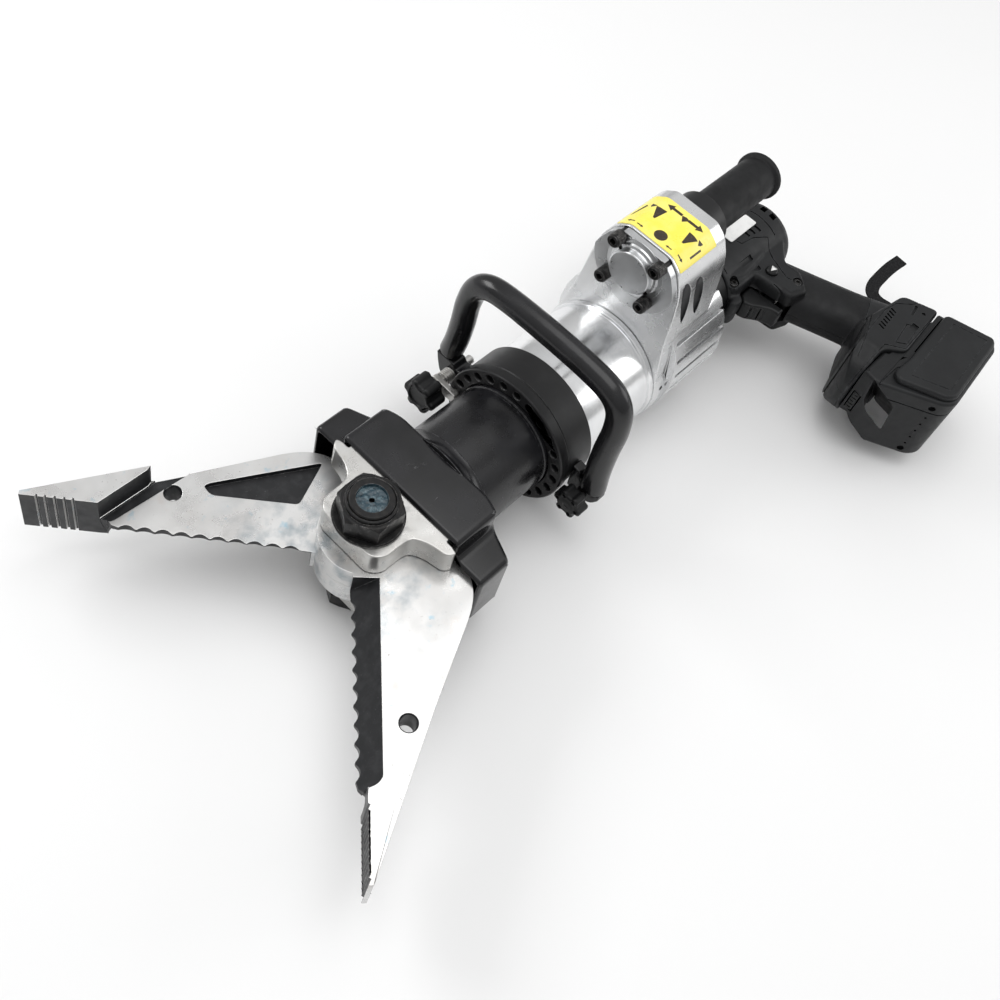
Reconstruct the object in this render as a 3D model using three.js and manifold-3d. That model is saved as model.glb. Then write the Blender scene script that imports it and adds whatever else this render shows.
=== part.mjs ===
// Battery-driven hydraulic rescue cutter: a combined cutting and spreading head on a hydraulic
// cylinder, a swivelling carry handle, a pump housing with a twist control grip, and a cordless
// drive unit. Millimetres, +Z up. While it is built, the pivot bolt's axis crosses the cylinder's
// axis at the origin, +X runs to the blade tips and +Y to the battery. The whole tool then stands
// with the bottom centre of its box at the origin.
import * as THREE from 'three';
import { mergeVertices } from 'three/addons/utils/BufferGeometryUtils.js';
import Module from 'manifold-3d';

const wasm = await Module();
wasm.setup();

// ---- driving dimensions ------------------------------------------------------------------
const GAP = 0.3;

// sides of a round piece, by its size
const LARGE = 30;
const MEDIUM = 18;
const SMALL = 12;
const TINY = 6;

// blades, outlined as they lie when closed, the right one on the +Y side
const OPEN_ANGLE = 47.4;
const BLADE_THICKNESS = 18;
const TIP_X = 203;
const BLADE_HUB_RADIUS = 28.5;
const CUT_START = [36, -7.0];
const CUT_END = [145, -4.7];
const SCALLOPS = 10;
const SCALLOP_DEPTH = 2.4;
const SCALLOP_STEPS = 3;
const GRIP_START_X = 157;
const GRIP_GROOVES = [171, 176, 181.5, 187, 192];
const CHAIN_HOLE = { x: 117.5, y: 23, radius: 5 };
const POCKET_DEPTH = 4;

// linkage between the blades and the piston rod
const ARM_PIN_CLOSED = [-7.25, 37.3];
const LINK_LENGTH = 50;
const LINK_REST_ANGLE = -155.21;
const LINK_LOW_Z = 9.1;
const LINK_HIGH_Z = 17.7;
const LUG_TOP_Z = 8.8;
const LINK_PIN_RADIUS = 5;
const CROSSHEAD_X = -79.08;
const CROSSHEAD_CLEARANCE = 2;

// head
const EAR_INNER_Z = BLADE_THICKNESS + GAP;
const EAR_OUTER_Z = 38;
const SPIGOT_RADIUS = 33;
const SHROUD_TOP_Z = 41;
const SHROUD_WIDTH = 50;
const WING_WIDTH = 73;
const WING_Z = 25;
const BOLT_RADIUS = 14;
const NUT_ACROSS_FLATS = 36;
const NUT_TOP_Z = 57;

// cylinder
const BARREL_RADIUS = 38.7;
const BORE_RADIUS = 31;
const ROD_RADIUS = 11;
const RING_RADIUS = 50.6;
const RING_HOLES = 24;
const RING_HOLE_CIRCLE = 44.6;
const SLEEVE_RADIUS = 49.5;
const FRONT_CYLINDER_RADIUS = 46.1;

// carry handle
const BAIL_X = -145;
const BAIL_RADIUS = 8.5;
const BAIL_HALF_WIDTH = 64;
const BAIL_TOP_Z = 95;
const BAIL_CORNER = 18;
const BAIL_SIDES = 10;
const PAWL_Y = -58;
const CLAMP_Y = 62.3;
const CLAMP_Z = -6;

// pump housing and twist grip
const HOUSING_FRONT_X = -231;
const HOUSING_REAR_X = -300;
const LOBE_REAR_X = -283;
const VALVE_Z = 101.5;
const FIN_COUNT = 7;
const GRIP_RADIUS = 15.25;
const GRIP_END_X = -369;

// drive unit
const NOSE_REAR_X = -345;
const MOTOR_RADIUS = 31;
const MOTOR_REAR_X = -432;
const GRIP_TOP = [-378.8, 0];
const GRIP_TILT = 20.9;
const GRIP_DEPTH = 23;
const GRIP_THICKNESS = 17.5;
const BUTTON_PLACE = [-384, 37];
const FOOT_HALF_WIDTH = 34;
const SHELL_WALL = 3;

// ---- materials ---------------------------------------------------------------------------
const FINISHES = {
  blade_steel: [0xb9bcbf, 0.32, 0.9],
  satin_steel: [0xa9adb0, 0.42, 0.9],
  dark_steel: [0x26282b, 0.45, 0.8],
  black_coating: [0x141517, 0.35, 0.2],
  aluminium: [0xc4c8cb, 0.3, 0.9],
  black_grip: [0x17181a, 0.6, 0],
  black_plastic: [0x202224, 0.65, 0],
  rubber: [0x1c1c1c, 0.85, 0],
  copper: [0xa9643a, 0.4, 0.9],
  yellow_label: [0xf2e33a, 0.5, 0],
  pale_plate: [0xe9e9e6, 0.5, 0],
  webbing: [0x151515, 0.95, 0],
};

const tool = new THREE.Group();

function add(name, geometry, finish) {
  const [color, roughness, metalness] = FINISHES[finish];
  const material = new THREE.MeshStandardMaterial({ color, roughness, metalness });
  const mesh = new THREE.Mesh(toGeometry(toSolid(geometry)), material);
  mesh.name = name;
  tool.add(mesh);
  return mesh;
}

// ---- solids ------------------------------------------------------------------------------
function signedVolume(points, triangles) {
  const corner = (i) => new THREE.Vector3().fromArray(points, 3 * i);
  let volume = 0;
  for (let i = 0; i < triangles.length; i += 3) {
    volume += corner(triangles[i]).dot(corner(triangles[i + 1]).cross(corner(triangles[i + 2])));
  }
  return volume / 6;
}

function toSolid(geometry) {
  const bare = geometry.clone();
  for (const name of Object.keys(bare.attributes)) {
    if (name !== 'position') bare.deleteAttribute(name);
  }
  const welded = mergeVertices(bare, 1e-4);
  const corners = welded.index.array;
  let triangles = [];
  for (let i = 0; i < corners.length; i += 3) {
    const [a, b, c] = corners.slice(i, i + 3);
    if (a !== b && b !== c && c !== a) triangles.push(a, b, c);
  }
  const points = Float32Array.from(welded.attributes.position.array);
  if (signedVolume(points, triangles) < 0) triangles = triangles.reverse();
  const mesh = new wasm.Mesh({ numProp: 3, vertProperties: points, triVerts: Uint32Array.from(triangles) });
  return new wasm.Manifold(mesh);
}

function toGeometry(solid) {
  const { vertProperties, triVerts } = solid.getMesh();
  const geometry = new THREE.BufferGeometry();
  geometry.setAttribute('position', new THREE.BufferAttribute(vertProperties, 3));
  geometry.setIndex(new THREE.BufferAttribute(triVerts, 1));
  geometry.computeVertexNormals();
  return geometry;
}

function join(...geometries) {
  return toGeometry(geometries.map(toSolid).reduce((whole, piece) => whole.add(piece)));
}

function cut(geometry, ...cutters) {
  return toGeometry(cutters.map(toSolid).reduce((whole, cutter) => whole.subtract(cutter),
    toSolid(geometry)));
}

function common(first, second) {
  return toGeometry(toSolid(first).intersect(toSolid(second)));
}

// ---- outlines ----------------------------------------------------------------------------
function polygon(points) {
  return new THREE.Shape(points.map(([u, v]) => new THREE.Vector2(u, v)));
}

function softPolygon(points, radius) {
  const shape = new THREE.Shape();
  points.forEach((point, i) => {
    const corner = new THREE.Vector2(...point);
    const before = new THREE.Vector2(...points.at(i - 1)).sub(corner);
    const after = new THREE.Vector2(...points[(i + 1) % points.length]).sub(corner);
    const reach = Math.min(radius, before.length() / 2.2, after.length() / 2.2);
    const start = before.setLength(reach).add(corner);
    const end = after.setLength(reach).add(corner);
    if (i === 0) shape.moveTo(start.x, start.y);
    else shape.lineTo(start.x, start.y);
    shape.quadraticCurveTo(corner.x, corner.y, end.x, end.y);
  });
  shape.closePath();
  return shape;
}

function arc(cx, cy, radius, fromDegrees, toDegrees, steps) {
  return Array.from({ length: steps + 1 }, (_, i) => {
    const angle = THREE.MathUtils.degToRad(THREE.MathUtils.lerp(fromDegrees, toDegrees, i / steps));
    return [cx + radius * Math.cos(angle), cy + radius * Math.sin(angle)];
  });
}

function circle(cx, cy, radius, steps = 24) {
  return polygon(arc(cx, cy, radius, 0, 360 - 360 / steps, steps - 1));
}

function star(lobes, outer, inner) {
  const points = [];
  for (let i = 0; i < lobes * 4; i += 1) {
    const angle = (i / (lobes * 4)) * 2 * Math.PI;
    const radius = i % 4 < 2 ? outer : inner;
    points.push([radius * Math.cos(angle), radius * Math.sin(angle)]);
  }
  return polygon(points);
}

// adds the other half of an outline: axis 0 flips u, axis 1 flips v
function mirrored(points, axis = 1) {
  const flipped = points.map(([u, v]) => (axis === 0 ? [-u, v] : [u, -v]));
  return [...points, ...flipped.reverse()];
}

// ---- solids from outlines ----------------------------------------------------------------
function plateZ(shape, z0, z1, curveSegments = 2) {
  const geometry = new THREE.ExtrudeGeometry(shape, { depth: z1 - z0, bevelEnabled: false, curveSegments });
  return geometry.translate(0, 0, z0);
}

// the outline's two axes become Y and Z
function prismX(shape, x0, x1, curveSegments = 2) {
  const geometry = plateZ(shape, Math.min(x0, x1), Math.max(x0, x1), curveSegments);
  const turn = new THREE.Matrix4().makeBasis(
    new THREE.Vector3(0, 1, 0), new THREE.Vector3(0, 0, 1), new THREE.Vector3(1, 0, 0));
  return geometry.applyMatrix4(turn);
}

function lathe(profile, segments) {
  return new THREE.LatheGeometry(profile.map(([radius, along]) => new THREE.Vector2(radius, along)),
    segments);
}

// profile points are [radius, x]
function turnedX(profile, segments = LARGE, y = 0, z = 0) {
  const turn = new THREE.Matrix4().makeBasis(
    new THREE.Vector3(0, 1, 0), new THREE.Vector3(1, 0, 0), new THREE.Vector3(0, 0, -1));
  return lathe(profile, segments).applyMatrix4(turn).translate(0, y, z);
}

// profile points are [radius, z]
function turnedZ(profile, segments = MEDIUM, x = 0, y = 0) {
  return lathe(profile, segments).rotateX(Math.PI / 2).translate(x, y, 0);
}

function rodX(radius, x0, x1, segments = MEDIUM, y = 0, z = 0) {
  return turnedX([[0, x0], [radius, x0], [radius, x1], [0, x1]], segments, y, z);
}

function tubeX(outer, inner, x0, x1, segments = LARGE) {
  return turnedX([[inner, x0], [outer, x0], [outer, x1], [inner, x1], [inner, x0]], segments);
}

function rodZ(radius, z0, z1, segments = MEDIUM, x = 0, y = 0) {
  return turnedZ([[0, z0], [radius, z0], [radius, z1], [0, z1]], segments, x, y);
}

function box(x0, x1, y0, y1, z0, z1) {
  const geometry = new THREE.BoxGeometry(x1 - x0, y1 - y0, z1 - z0);
  return geometry.translate((x0 + x1) / 2, (y0 + y1) / 2, (z0 + z1) / 2);
}

function hexagon(acrossFlats) {
  return circle(0, 0, acrossFlats / Math.sqrt(3), 6);
}

function tubeAlong(points, radius, sides, steps) {
  const path = new THREE.CurvePath();
  path.add(new THREE.CatmullRomCurve3(points.map((p) => new THREE.Vector3(...p)),
  false, 'catmullrom', 0.5));
  return new THREE.ExtrudeGeometry(circle(0, 0, radius, sides),
    { steps, extrudePath: path, bevelEnabled: false });
}

// ---- blades ------------------------------------------------------------------------------
function cuttingEdge() {
  const points = [];
  for (let i = 0; i < SCALLOPS * SCALLOP_STEPS; i += 1) {
    const along = i / (SCALLOPS * SCALLOP_STEPS);
    const bite = SCALLOP_DEPTH * Math.sin((Math.PI * (i % SCALLOP_STEPS)) / SCALLOP_STEPS);
    points.push([
      THREE.MathUtils.lerp(CUT_START[0], CUT_END[0], along),
      THREE.MathUtils.lerp(CUT_START[1], CUT_END[1], along) + bite,
    ]);
  }
  return [...points, CUT_END, [150, -3], [153, 0.4]];
}

function gripFace() {
  const halfGap = GAP / 2;
  const notches = GRIP_GROOVES.flatMap((x) => [[x - 1.1, halfGap], [x, 1.6], [x + 1.1, halfGap]]);
  return [[GRIP_START_X, halfGap], ...notches, [TIP_X, halfGap]];
}

function bladeGeometry() {
  const [pinX, pinY] = ARM_PIN_CLOSED;
  const outerEdge = [[TIP_X - 0.6, 2.8], [109.8, 37.8], [55.3, 60.1], [46, 63], [36.9, 64.3], [27, 63],
    [17, 58.5]];
  const heel = [[6, 52], ...arc(pinX, pinY, 12, 80, 195, 5)];
  const hub = arc(0, 0, BLADE_HUB_RADIUS, 148, 345, 11);
  const main = [...gripFace(), ...outerEdge, ...heel, ...hub, ...cuttingEdge()];
  const tipBlock = [...gripFace(), [TIP_X - 0.6, 2.8], [131.4, 29.6], [133, 26]];
  const plate = plateZ(polygon(main), GAP / 2, BLADE_THICKNESS);
  const tip = plateZ(polygon(tipBlock), -BLADE_THICKNESS, GAP / 2 + 0.01);
  const bevel = prismX(polygon([[8.9, BLADE_THICKNESS + 0.5], [-30, BLADE_THICKNESS + 0.5],
    [-30, -25]]), 34, 152);
  const pocket = softPolygon([[99.9, 30.4], [94.9, 24.6], [40.7, 24.8], [29, 57], [97, 32.8]], 3);
  const pocketCut = plateZ(pocket, -1, GAP / 2 + POCKET_DEPTH);
  return cut(
    join(plate, tip), bevel, pocketCut, lugStep(),
    rodZ(BOLT_RADIUS + GAP, -20, 20, MEDIUM),
    rodZ(CHAIN_HOLE.radius, -20, 20, SMALL, CHAIN_HOLE.x, CHAIN_HOLE.y),
    rodZ(LINK_PIN_RADIUS + GAP, -20, 20, SMALL, pinX, pinY));
}

// the arm is thinned where the link sweeps over it
function lugStep() {
  const [pinX, pinY] = ARM_PIN_CLOSED;
  const eyeRadius = 12.5;
  const reach = 60;
  const closedDirection = 232;
  const openDirection = 155;
  const around = arc(pinX, pinY, eyeRadius, openDirection - 90, closedDirection - 270, 7);
  const far = [closedDirection, openDirection].map((direction, i) => {
    const angle = THREE.MathUtils.degToRad(direction);
    const side = THREE.MathUtils.degToRad(direction + (i === 0 ? 90 : -90));
    return [
      pinX + reach * Math.cos(angle) + 11 * Math.cos(side),
      pinY + reach * Math.sin(angle) + 11 * Math.sin(side),
    ];
  });
  return plateZ(polygon([...around, ...far]), LUG_TOP_Z, 20);
}

function addBlade(name, side) {
  const geometry = bladeGeometry();
  if (side < 0) geometry.rotateX(Math.PI);
  geometry.rotateZ(side * THREE.MathUtils.degToRad(OPEN_ANGLE));
  add(name, geometry, 'blade_steel');
}

addBlade('blade_right', 1);
addBlade('blade_left', -1);

// ---- linkage -----------------------------------------------------------------------------
function restArmPin() {
  const angle = THREE.MathUtils.degToRad(OPEN_ANGLE);
  return new THREE.Vector2(...ARM_PIN_CLOSED).rotateAround(new THREE.Vector2(0, 0), angle);
}

function addLink(name, pinName, side) {
  const pin = restArmPin();
  const eye = 9;
  const clearanceEye = 12;
  const outline = [...arc(0, 0, eye, 90, 270, 8), ...arc(LINK_LENGTH, 0, clearanceEye, -60, 60, 6)];
  const link = cut(
    plateZ(polygon(outline), LINK_LOW_Z, LINK_HIGH_Z),
    rodZ(LINK_PIN_RADIUS + GAP, 0, 20, SMALL),
    rodZ(LINK_PIN_RADIUS + CROSSHEAD_CLEARANCE, 0, 20, SMALL, LINK_LENGTH, 0));
  link.rotateZ(THREE.MathUtils.degToRad(LINK_REST_ANGLE)).translate(pin.x, pin.y, 0);
  const pinGeometry = rodZ(LINK_PIN_RADIUS, GAP, LINK_HIGH_Z + 0.2, SMALL, pin.x, pin.y);
  for (const geometry of [link, pinGeometry]) {
    if (side < 0) geometry.rotateX(Math.PI);
  }
  add(name, link, 'dark_steel');
  add(pinName, pinGeometry, 'satin_steel');
}

addLink('link_right', 'link_pin_right', 1);
addLink('link_left', 'link_pin_left', -1);

function addPistonGroup() {
  const neckX = CROSSHEAD_X - 18.5;
  const tongue = polygon([...arc(CROSSHEAD_X, 0, 9, -90, 90, 8), [CROSSHEAD_X - 15, 9],
    [CROSSHEAD_X - 15, -9]]);
  const crosshead = cut(
    join(plateZ(tongue, -LUG_TOP_Z, LUG_TOP_Z), rodX(13, neckX, CROSSHEAD_X - 14.5, MEDIUM)),
    rodZ(LINK_PIN_RADIUS + GAP, -20, 20, SMALL, CROSSHEAD_X, 0),
    rodX(6.2, neckX - 1, neckX + 5, SMALL));
  add('crosshead', crosshead, 'dark_steel');
  add('crosshead_pin', rodZ(LINK_PIN_RADIUS, -LINK_HIGH_Z - 0.2, LINK_HIGH_Z + 0.2, SMALL, CROSSHEAD_X,
    0), 'satin_steel');
  const rod = join(rodX(ROD_RADIUS, -146, neckX - GAP, MEDIUM), rodX(6, neckX - 1, neckX + 4.5, SMALL));
  add('piston_rod', rod, 'satin_steel');
  const piston = turnedX([
    [0, -160], [30.6, -160], [30.6, -155.5], [27, -155.5], [27, -151], [30.6, -151], [30.6, -146.3],
    [0, -146.3]], MEDIUM);
  add('piston', piston, 'aluminium');
  add('piston_seal', tubeX(30.8, 27.3, -155.2, -151.3, MEDIUM), 'rubber');
}

addPistonGroup();

// ---- head --------------------------------------------------------------------------------
function addYoke() {
  const side = [
    [18, 21], [11, 27], [-1, 26.5], [-9, 27.5], [-14, 36], [-16, 48], [-20, 52], [-22, 52], [-22.2, 44],
    [-26, 42.5], [-48, 42.5], [-56.8, 30]];
  const ears = plateZ(softPolygon(mirrored(side), 5), -EAR_OUTER_Z, EAR_OUTER_Z);
  const section = softPolygon(mirrored([[52.5, -EAR_OUTER_Z], [52.5, EAR_OUTER_Z]], 0), 4);
  const body = join(common(ears, prismX(section, -80, 30)), rodX(SPIGOT_RADIUS, -84, -56, LARGE));
  const bladeSpace = box(-54.5, 40, -80, 80, -EAR_INNER_Z, EAR_INNER_Z);
  const linkSpace = box(-62, 0, -27, 27, -EAR_INNER_Z, EAR_INNER_Z);
  const guideBore = rodX(28.5, -90, -55, MEDIUM);
  const boltHole = rodZ(BOLT_RADIUS + GAP, -60, 60, MEDIUM);
  add('yoke_fork', cut(body, bladeSpace, linkSpace, guideBore, boltHole), 'satin_steel');
}

addYoke();

function shroudSolid(inset) {
  const width = SHROUD_WIDTH - inset;
  const wing = WING_WIDTH - inset;
  const section = softPolygon([
    [width, WING_Z - inset], [width, SHROUD_TOP_Z - inset], [-width, SHROUD_TOP_Z - inset],
    [-width, WING_Z - inset],
    [-wing, WING_Z - inset], [-wing, -WING_Z + inset], [-width, -WING_Z + inset],
    [-width, -SHROUD_TOP_Z + inset],
    [width, -SHROUD_TOP_Z + inset], [width, -WING_Z + inset], [wing, -WING_Z + inset],
    [wing, WING_Z - inset]], 5);
  const rear = -63.6 + 2 * inset;
  const front = inset > 0 ? 0 : -25;
  const outline = softPolygon([
    [front, wing + 1], [rear + 14, wing + 1], [rear + 4, width], [rear, width - 12],
    [rear, -width + 12], [rear + 4, -width], [rear + 14, -wing - 1], [front, -wing - 1]], 5);
  return common(prismX(section, -90, 10), plateZ(outline, -60, 60));
}

function addShroud() {
  const neckSkirt = turnedX([[BARREL_RADIUS + GAP, -66.5], [40.5, -66.5], [43, -62],
    [BARREL_RADIUS + GAP, -62],
    [BARREL_RADIUS + GAP, -66.5]], LARGE);
  const wallThickness = 2.7;
  const shell = cut(shroudSolid(0), shroudSolid(wallThickness), rodX(BARREL_RADIUS + GAP, -90, -50, LARGE));
  add('head_shroud', join(shell, neckSkirt), 'black_coating');
}

addShroud();

function addPivot() {
  const headZ = -EAR_OUTER_Z - GAP;
  const bolt = cut(
    join(rodZ(BOLT_RADIUS, headZ - 1, NUT_TOP_Z + 1.5, MEDIUM), plateZ(hexagon(NUT_ACROSS_FLATS),
      headZ - 12, headZ)),
    rodZ(8, NUT_TOP_Z - 1, NUT_TOP_Z + 5, SMALL));
  add('pivot_bolt', bolt, 'dark_steel');
  const washer = turnedZ([[BOLT_RADIUS + GAP, EAR_OUTER_Z + GAP], [22, EAR_OUTER_Z + GAP],
    [22, EAR_OUTER_Z + 2.3],
    [BOLT_RADIUS + GAP, EAR_OUTER_Z + 2.3], [BOLT_RADIUS + GAP, EAR_OUTER_Z + GAP]], MEDIUM);
  add('pivot_washer', washer, 'dark_steel');
  const nut = cut(
    join(plateZ(hexagon(NUT_ACROSS_FLATS), EAR_OUTER_Z + 2.6, NUT_TOP_Z - 3),
      rodZ(16, NUT_TOP_Z - 4, NUT_TOP_Z, MEDIUM)),
    rodZ(BOLT_RADIUS + GAP, 30, 70, MEDIUM));
  add('pivot_nut', nut, 'dark_steel');
}

addPivot();

// ---- cylinder ----------------------------------------------------------------------------
function addCylinder() {
  const barrel = turnedX([
    [SPIGOT_RADIUS + GAP, -58.3], [BARREL_RADIUS, -58.3], [BARREL_RADIUS, -222], [BORE_RADIUS, -222],
    [BORE_RADIUS, -84.5], [SPIGOT_RADIUS + GAP, -84.5], [SPIGOT_RADIUS + GAP, -58.3]], LARGE);
  add('cylinder_barrel', barrel, 'black_coating');
  add('cylinder_gland', tubeX(BORE_RADIUS - GAP, ROD_RADIUS + GAP, -107.5, -98.2, MEDIUM), 'aluminium');
  const ring = tubeX(RING_RADIUS, BARREL_RADIUS + GAP, -137, -129, LARGE);
  const holes = Array.from({ length: RING_HOLES }, (_, i) => {
    const angle = (i / RING_HOLES) * 2 * Math.PI;
    return rodX(3.1, -135.5, -125, TINY, RING_HOLE_CIRCLE * Math.cos(angle),
      RING_HOLE_CIRCLE * Math.sin(angle));
  });
  add('index_ring', cut(ring, ...holes), 'black_coating');
  add('handle_collar', tubeX(SLEEVE_RADIUS, BARREL_RADIUS + GAP, -161.5, -137.4, LARGE), 'black_coating');
  const lip = FRONT_CYLINDER_RADIUS + 1.2;
  const front = turnedX([
    [BARREL_RADIUS + GAP, -162], [FRONT_CYLINDER_RADIUS - 1.5, -162], [FRONT_CYLINDER_RADIUS, -163.5],
    [FRONT_CYLINDER_RADIUS, -226], [lip, -226.5], [lip, -230.7], [BARREL_RADIUS + GAP, -230.7],
    [BARREL_RADIUS + GAP, -162]], LARGE);
  add('front_cylinder', front, 'aluminium');
}

addCylinder();

// ---- carry handle ------------------------------------------------------------------------
function addHandle() {
  const w = BAIL_HALF_WIDTH;
  const c = BAIL_CORNER;
  const corner = (side) => [30, 60].map((degrees) => {
    const angle = THREE.MathUtils.degToRad(degrees);
    return [BAIL_X, side * (w - c + c * Math.cos(angle)), BAIL_TOP_Z - c + c * Math.sin(angle)];
  });
  const left = [[BAIL_X, -w - 3, 12], [BAIL_X, -w - 1, 26], [BAIL_X, -w, 45],
    [BAIL_X, -w, BAIL_TOP_Z - c - 4]];
  const right = [[BAIL_X, w + 3, 2], [BAIL_X, w + 1, 20], [BAIL_X, w, 42], [BAIL_X, w, BAIL_TOP_Z - c - 4]];
  const top = [[BAIL_X, -w + c + 5, BAIL_TOP_Z], [BAIL_X, 0, BAIL_TOP_Z + 1],
    [BAIL_X, w - c - 5, BAIL_TOP_Z]];
  const points = [...left, ...corner(-1), ...top, ...corner(1).reverse(), ...right.reverse()];
  add('carry_handle', tubeAlong(points, BAIL_RADIUS, BAIL_SIDES, 30), 'black_coating');

  const leftTab = polygon([[-49.9, -11], [-66, -11], [-72, 4], [-74, 9.8], [-58, 9.8], [-55, 6],
    [-49.2, 8]]);
  add('handle_bracket_left', cut(prismX(leftTab, -150, -138), rodX(3.8, -160, -130, SMALL, PAWL_Y, 0)),
    'black_coating');
  const rightTab = polygon([[49.9, -12], [58, -15], [70, -13], [75, -4], [74, 0.2], [58, 0.2], [56, 8],
    [49.2, 9]]);
  add('handle_bracket_right', cut(prismX(rightTab, -150, -142),
    rodX(3.8, -160, -130, SMALL, CLAMP_Y, CLAMP_Z)), 'black_coating');
}

addHandle();

function addKnobs() {
  const pinY = -RING_HOLE_CIRCLE;
  const stemY = PAWL_Y;
  const pawl = join(
    rodX(3.4, -158, -104.5, SMALL, stemY, 0),
    prismX(softPolygon([[pinY + 4, -4], [pinY + 4, 4], [stemY - 5, 5], [stemY - 5, -5]], 2), -127.5, -123),
    rodX(2.5, -134, -125, TINY, pinY, 0));
  add('index_pawl', pawl, 'satin_steel');
  const knob = prismX(star(6, 13.5, 10.5), -119, -105).translate(0, stemY, 0);
  add('index_knob', cut(knob, rodX(3.7, -122, -102, SMALL, stemY, 0)), 'black_plastic');
  add('index_spring', tubeX(5.6, 4.1, -137.6, -128.5, SMALL).translate(0, stemY, 0), 'satin_steel');
  const clampKnob = join(
    prismX(star(6, 11, 8.6), -135.5, -125).translate(0, CLAMP_Y, CLAMP_Z),
    rodX(3.4, -154, -134, SMALL, CLAMP_Y, CLAMP_Z));
  add('clamp_knob', clampKnob, 'black_plastic');
}

addKnobs();

// ---- pump housing ------------------------------------------------------------------------
const LOBE_SIDE = [[17, 123.4], [26, 117], [33.5, 102], [36.5, 80], [38.5, 52], [40, 27]];
const FIN_TIPS = [
  [26, 63], [38, 53], [46, 40], [50, 27], [51.5, 13], [50.5, -1], [47, -15], [41, -28], [32, -39],
  [20, -47], [7, -51]];
const SCREW_OFFSET = 16.8;

function addHousing() {
  const frontSide = [...LOBE_SIDE, ...arc(0, 0, 48.3, 30, -80, 9)];
  const front = prismX(polygon(mirrored(frontSide, 0)), HOUSING_FRONT_X - 12, HOUSING_FRONT_X);
  const lobe = prismX(polygon(mirrored([...LOBE_SIDE.slice(0, -1), [36, 45]], 0)),
    LOBE_REAR_X, HOUSING_FRONT_X - 5);
  const finned = prismX(polygon(mirrored(FIN_TIPS, 0)), HOUSING_REAR_X, HOUSING_FRONT_X - 11);
  const grooves = FIN_TIPS.slice(0, -1).flatMap((tip, i) => {
    const next = FIN_TIPS[i + 1];
    const middle = new THREE.Vector2((tip[0] + next[0]) / 2, (tip[1] + next[1]) / 2);
    const groove = box(HOUSING_REAR_X - 5, HOUSING_FRONT_X - 14, -1.5, 1.5, -5, 5);
    const angle = Math.atan2(next[1] - tip[1], next[0] - tip[0]);
    groove.rotateX(angle).translate(0, middle.x, middle.y);
    return [groove, groove.clone().applyMatrix4(new THREE.Matrix4().makeScale(1, -1, 1))];
  });
  const screwHoles = screwPlaces().map(([y, z]) => rodX(3.3, -243, -230, TINY, y, z));
  const housing = cut(
    join(front, lobe, finned), ...grooves, ...screwHoles,
    rodX(12.3, -300, -225, MEDIUM, 0, VALVE_Z), rodX(34, -310, -246, MEDIUM));
  add('pump_housing', housing, 'aluminium');
  add('housing_rear_plate', tubeX(43, 6.6, -304, HOUSING_REAR_X - GAP, MEDIUM), 'aluminium');
}

function screwPlaces() {
  return [[-1, 1], [1, 1], [-1, -1], [1, -1]].map(([y, z]) => [y * SCREW_OFFSET,
    VALVE_Z + z * SCREW_OFFSET]);
}

function addValve() {
  const rim = LOBE_SIDE.slice(0, 4).map(([y, z]) => [y - 1.2, z - 1]);
  const outline = prismX(polygon(mirrored([...rim, [34, 60]], 0)), -235, -220);
  const disc = rodX(33, -230.7, -225, LARGE, 0, VALVE_Z);
  const boss = rodX(15.9, -226, -218, MEDIUM, 0, VALVE_Z);
  const holes = screwPlaces().map(([y, z]) => rodX(3.3, -235, -215, TINY, y, z));
  add('valve_cover', cut(join(common(disc, outline), boss), ...holes), 'aluminium');
  screwPlaces().forEach(([y, z], i) => {
    const screw = join(rodX(4.8, -224.7, -215.5, SMALL, y, z), rodX(3, -241, -224, TINY, y, z));
    const socket = prismX(hexagon(4.6), -218.5, -210).translate(0, y, z);
    add(`valve_cover_screw_${i + 1}`, cut(screw, socket), 'dark_steel');
  });
  const spool = turnedX([
    [0, -283], [6, -283], [6, -280], [11.9, -280], [11.9, -270], [7, -270], [7, -258], [11.9, -258],
    [11.9, -248],
    [7, -248], [7, -240], [11.9, -240], [11.9, -232], [0, -232]], MEDIUM, 0, VALVE_Z);
  add('valve_spool', spool, 'satin_steel');
  const collar = tubeX(20.5, GRIP_RADIUS + GAP, -299, LOBE_REAR_X - GAP, MEDIUM).translate(0, 0, VALVE_Z);
  add('grip_collar', collar, 'black_coating');
  const grip = turnedX([
    [0, GRIP_END_X], [16.4, GRIP_END_X], [17.4, GRIP_END_X + 1], [17.4, GRIP_END_X + 4],
    [GRIP_RADIUS, GRIP_END_X + 5],
    [GRIP_RADIUS, LOBE_REAR_X - GAP], [7, LOBE_REAR_X - GAP], [7, -345], [0, -345]], MEDIUM, 0, VALVE_Z);
  add('twist_grip', grip, 'black_grip');
}

function addLabel() {
  const centreZ = 90;
  const run = mirrored([[29.5, 110], [26, 117], [17, 123.4]], 0);
  const grown = (factor) => run.map(([y, z]) => [y * factor, centreZ + (z - centreZ) * factor]);
  const strip = polygon([...grown(1.014), ...grown(1.034).reverse()]);
  add('control_label', prismX(strip, -272, -233), 'yellow_label');
}

addHousing();
addValve();
addLabel();

function addPump() {
  add('pump_rotor', join(rodX(6, -304.2, -262, SMALL), rodX(24, -294, -272, MEDIUM)), 'satin_steel');
  add('reservoir_bladder', tubeX(33.6, 27, -298, -266, MEDIUM), 'rubber');
}

addPump();

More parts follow.
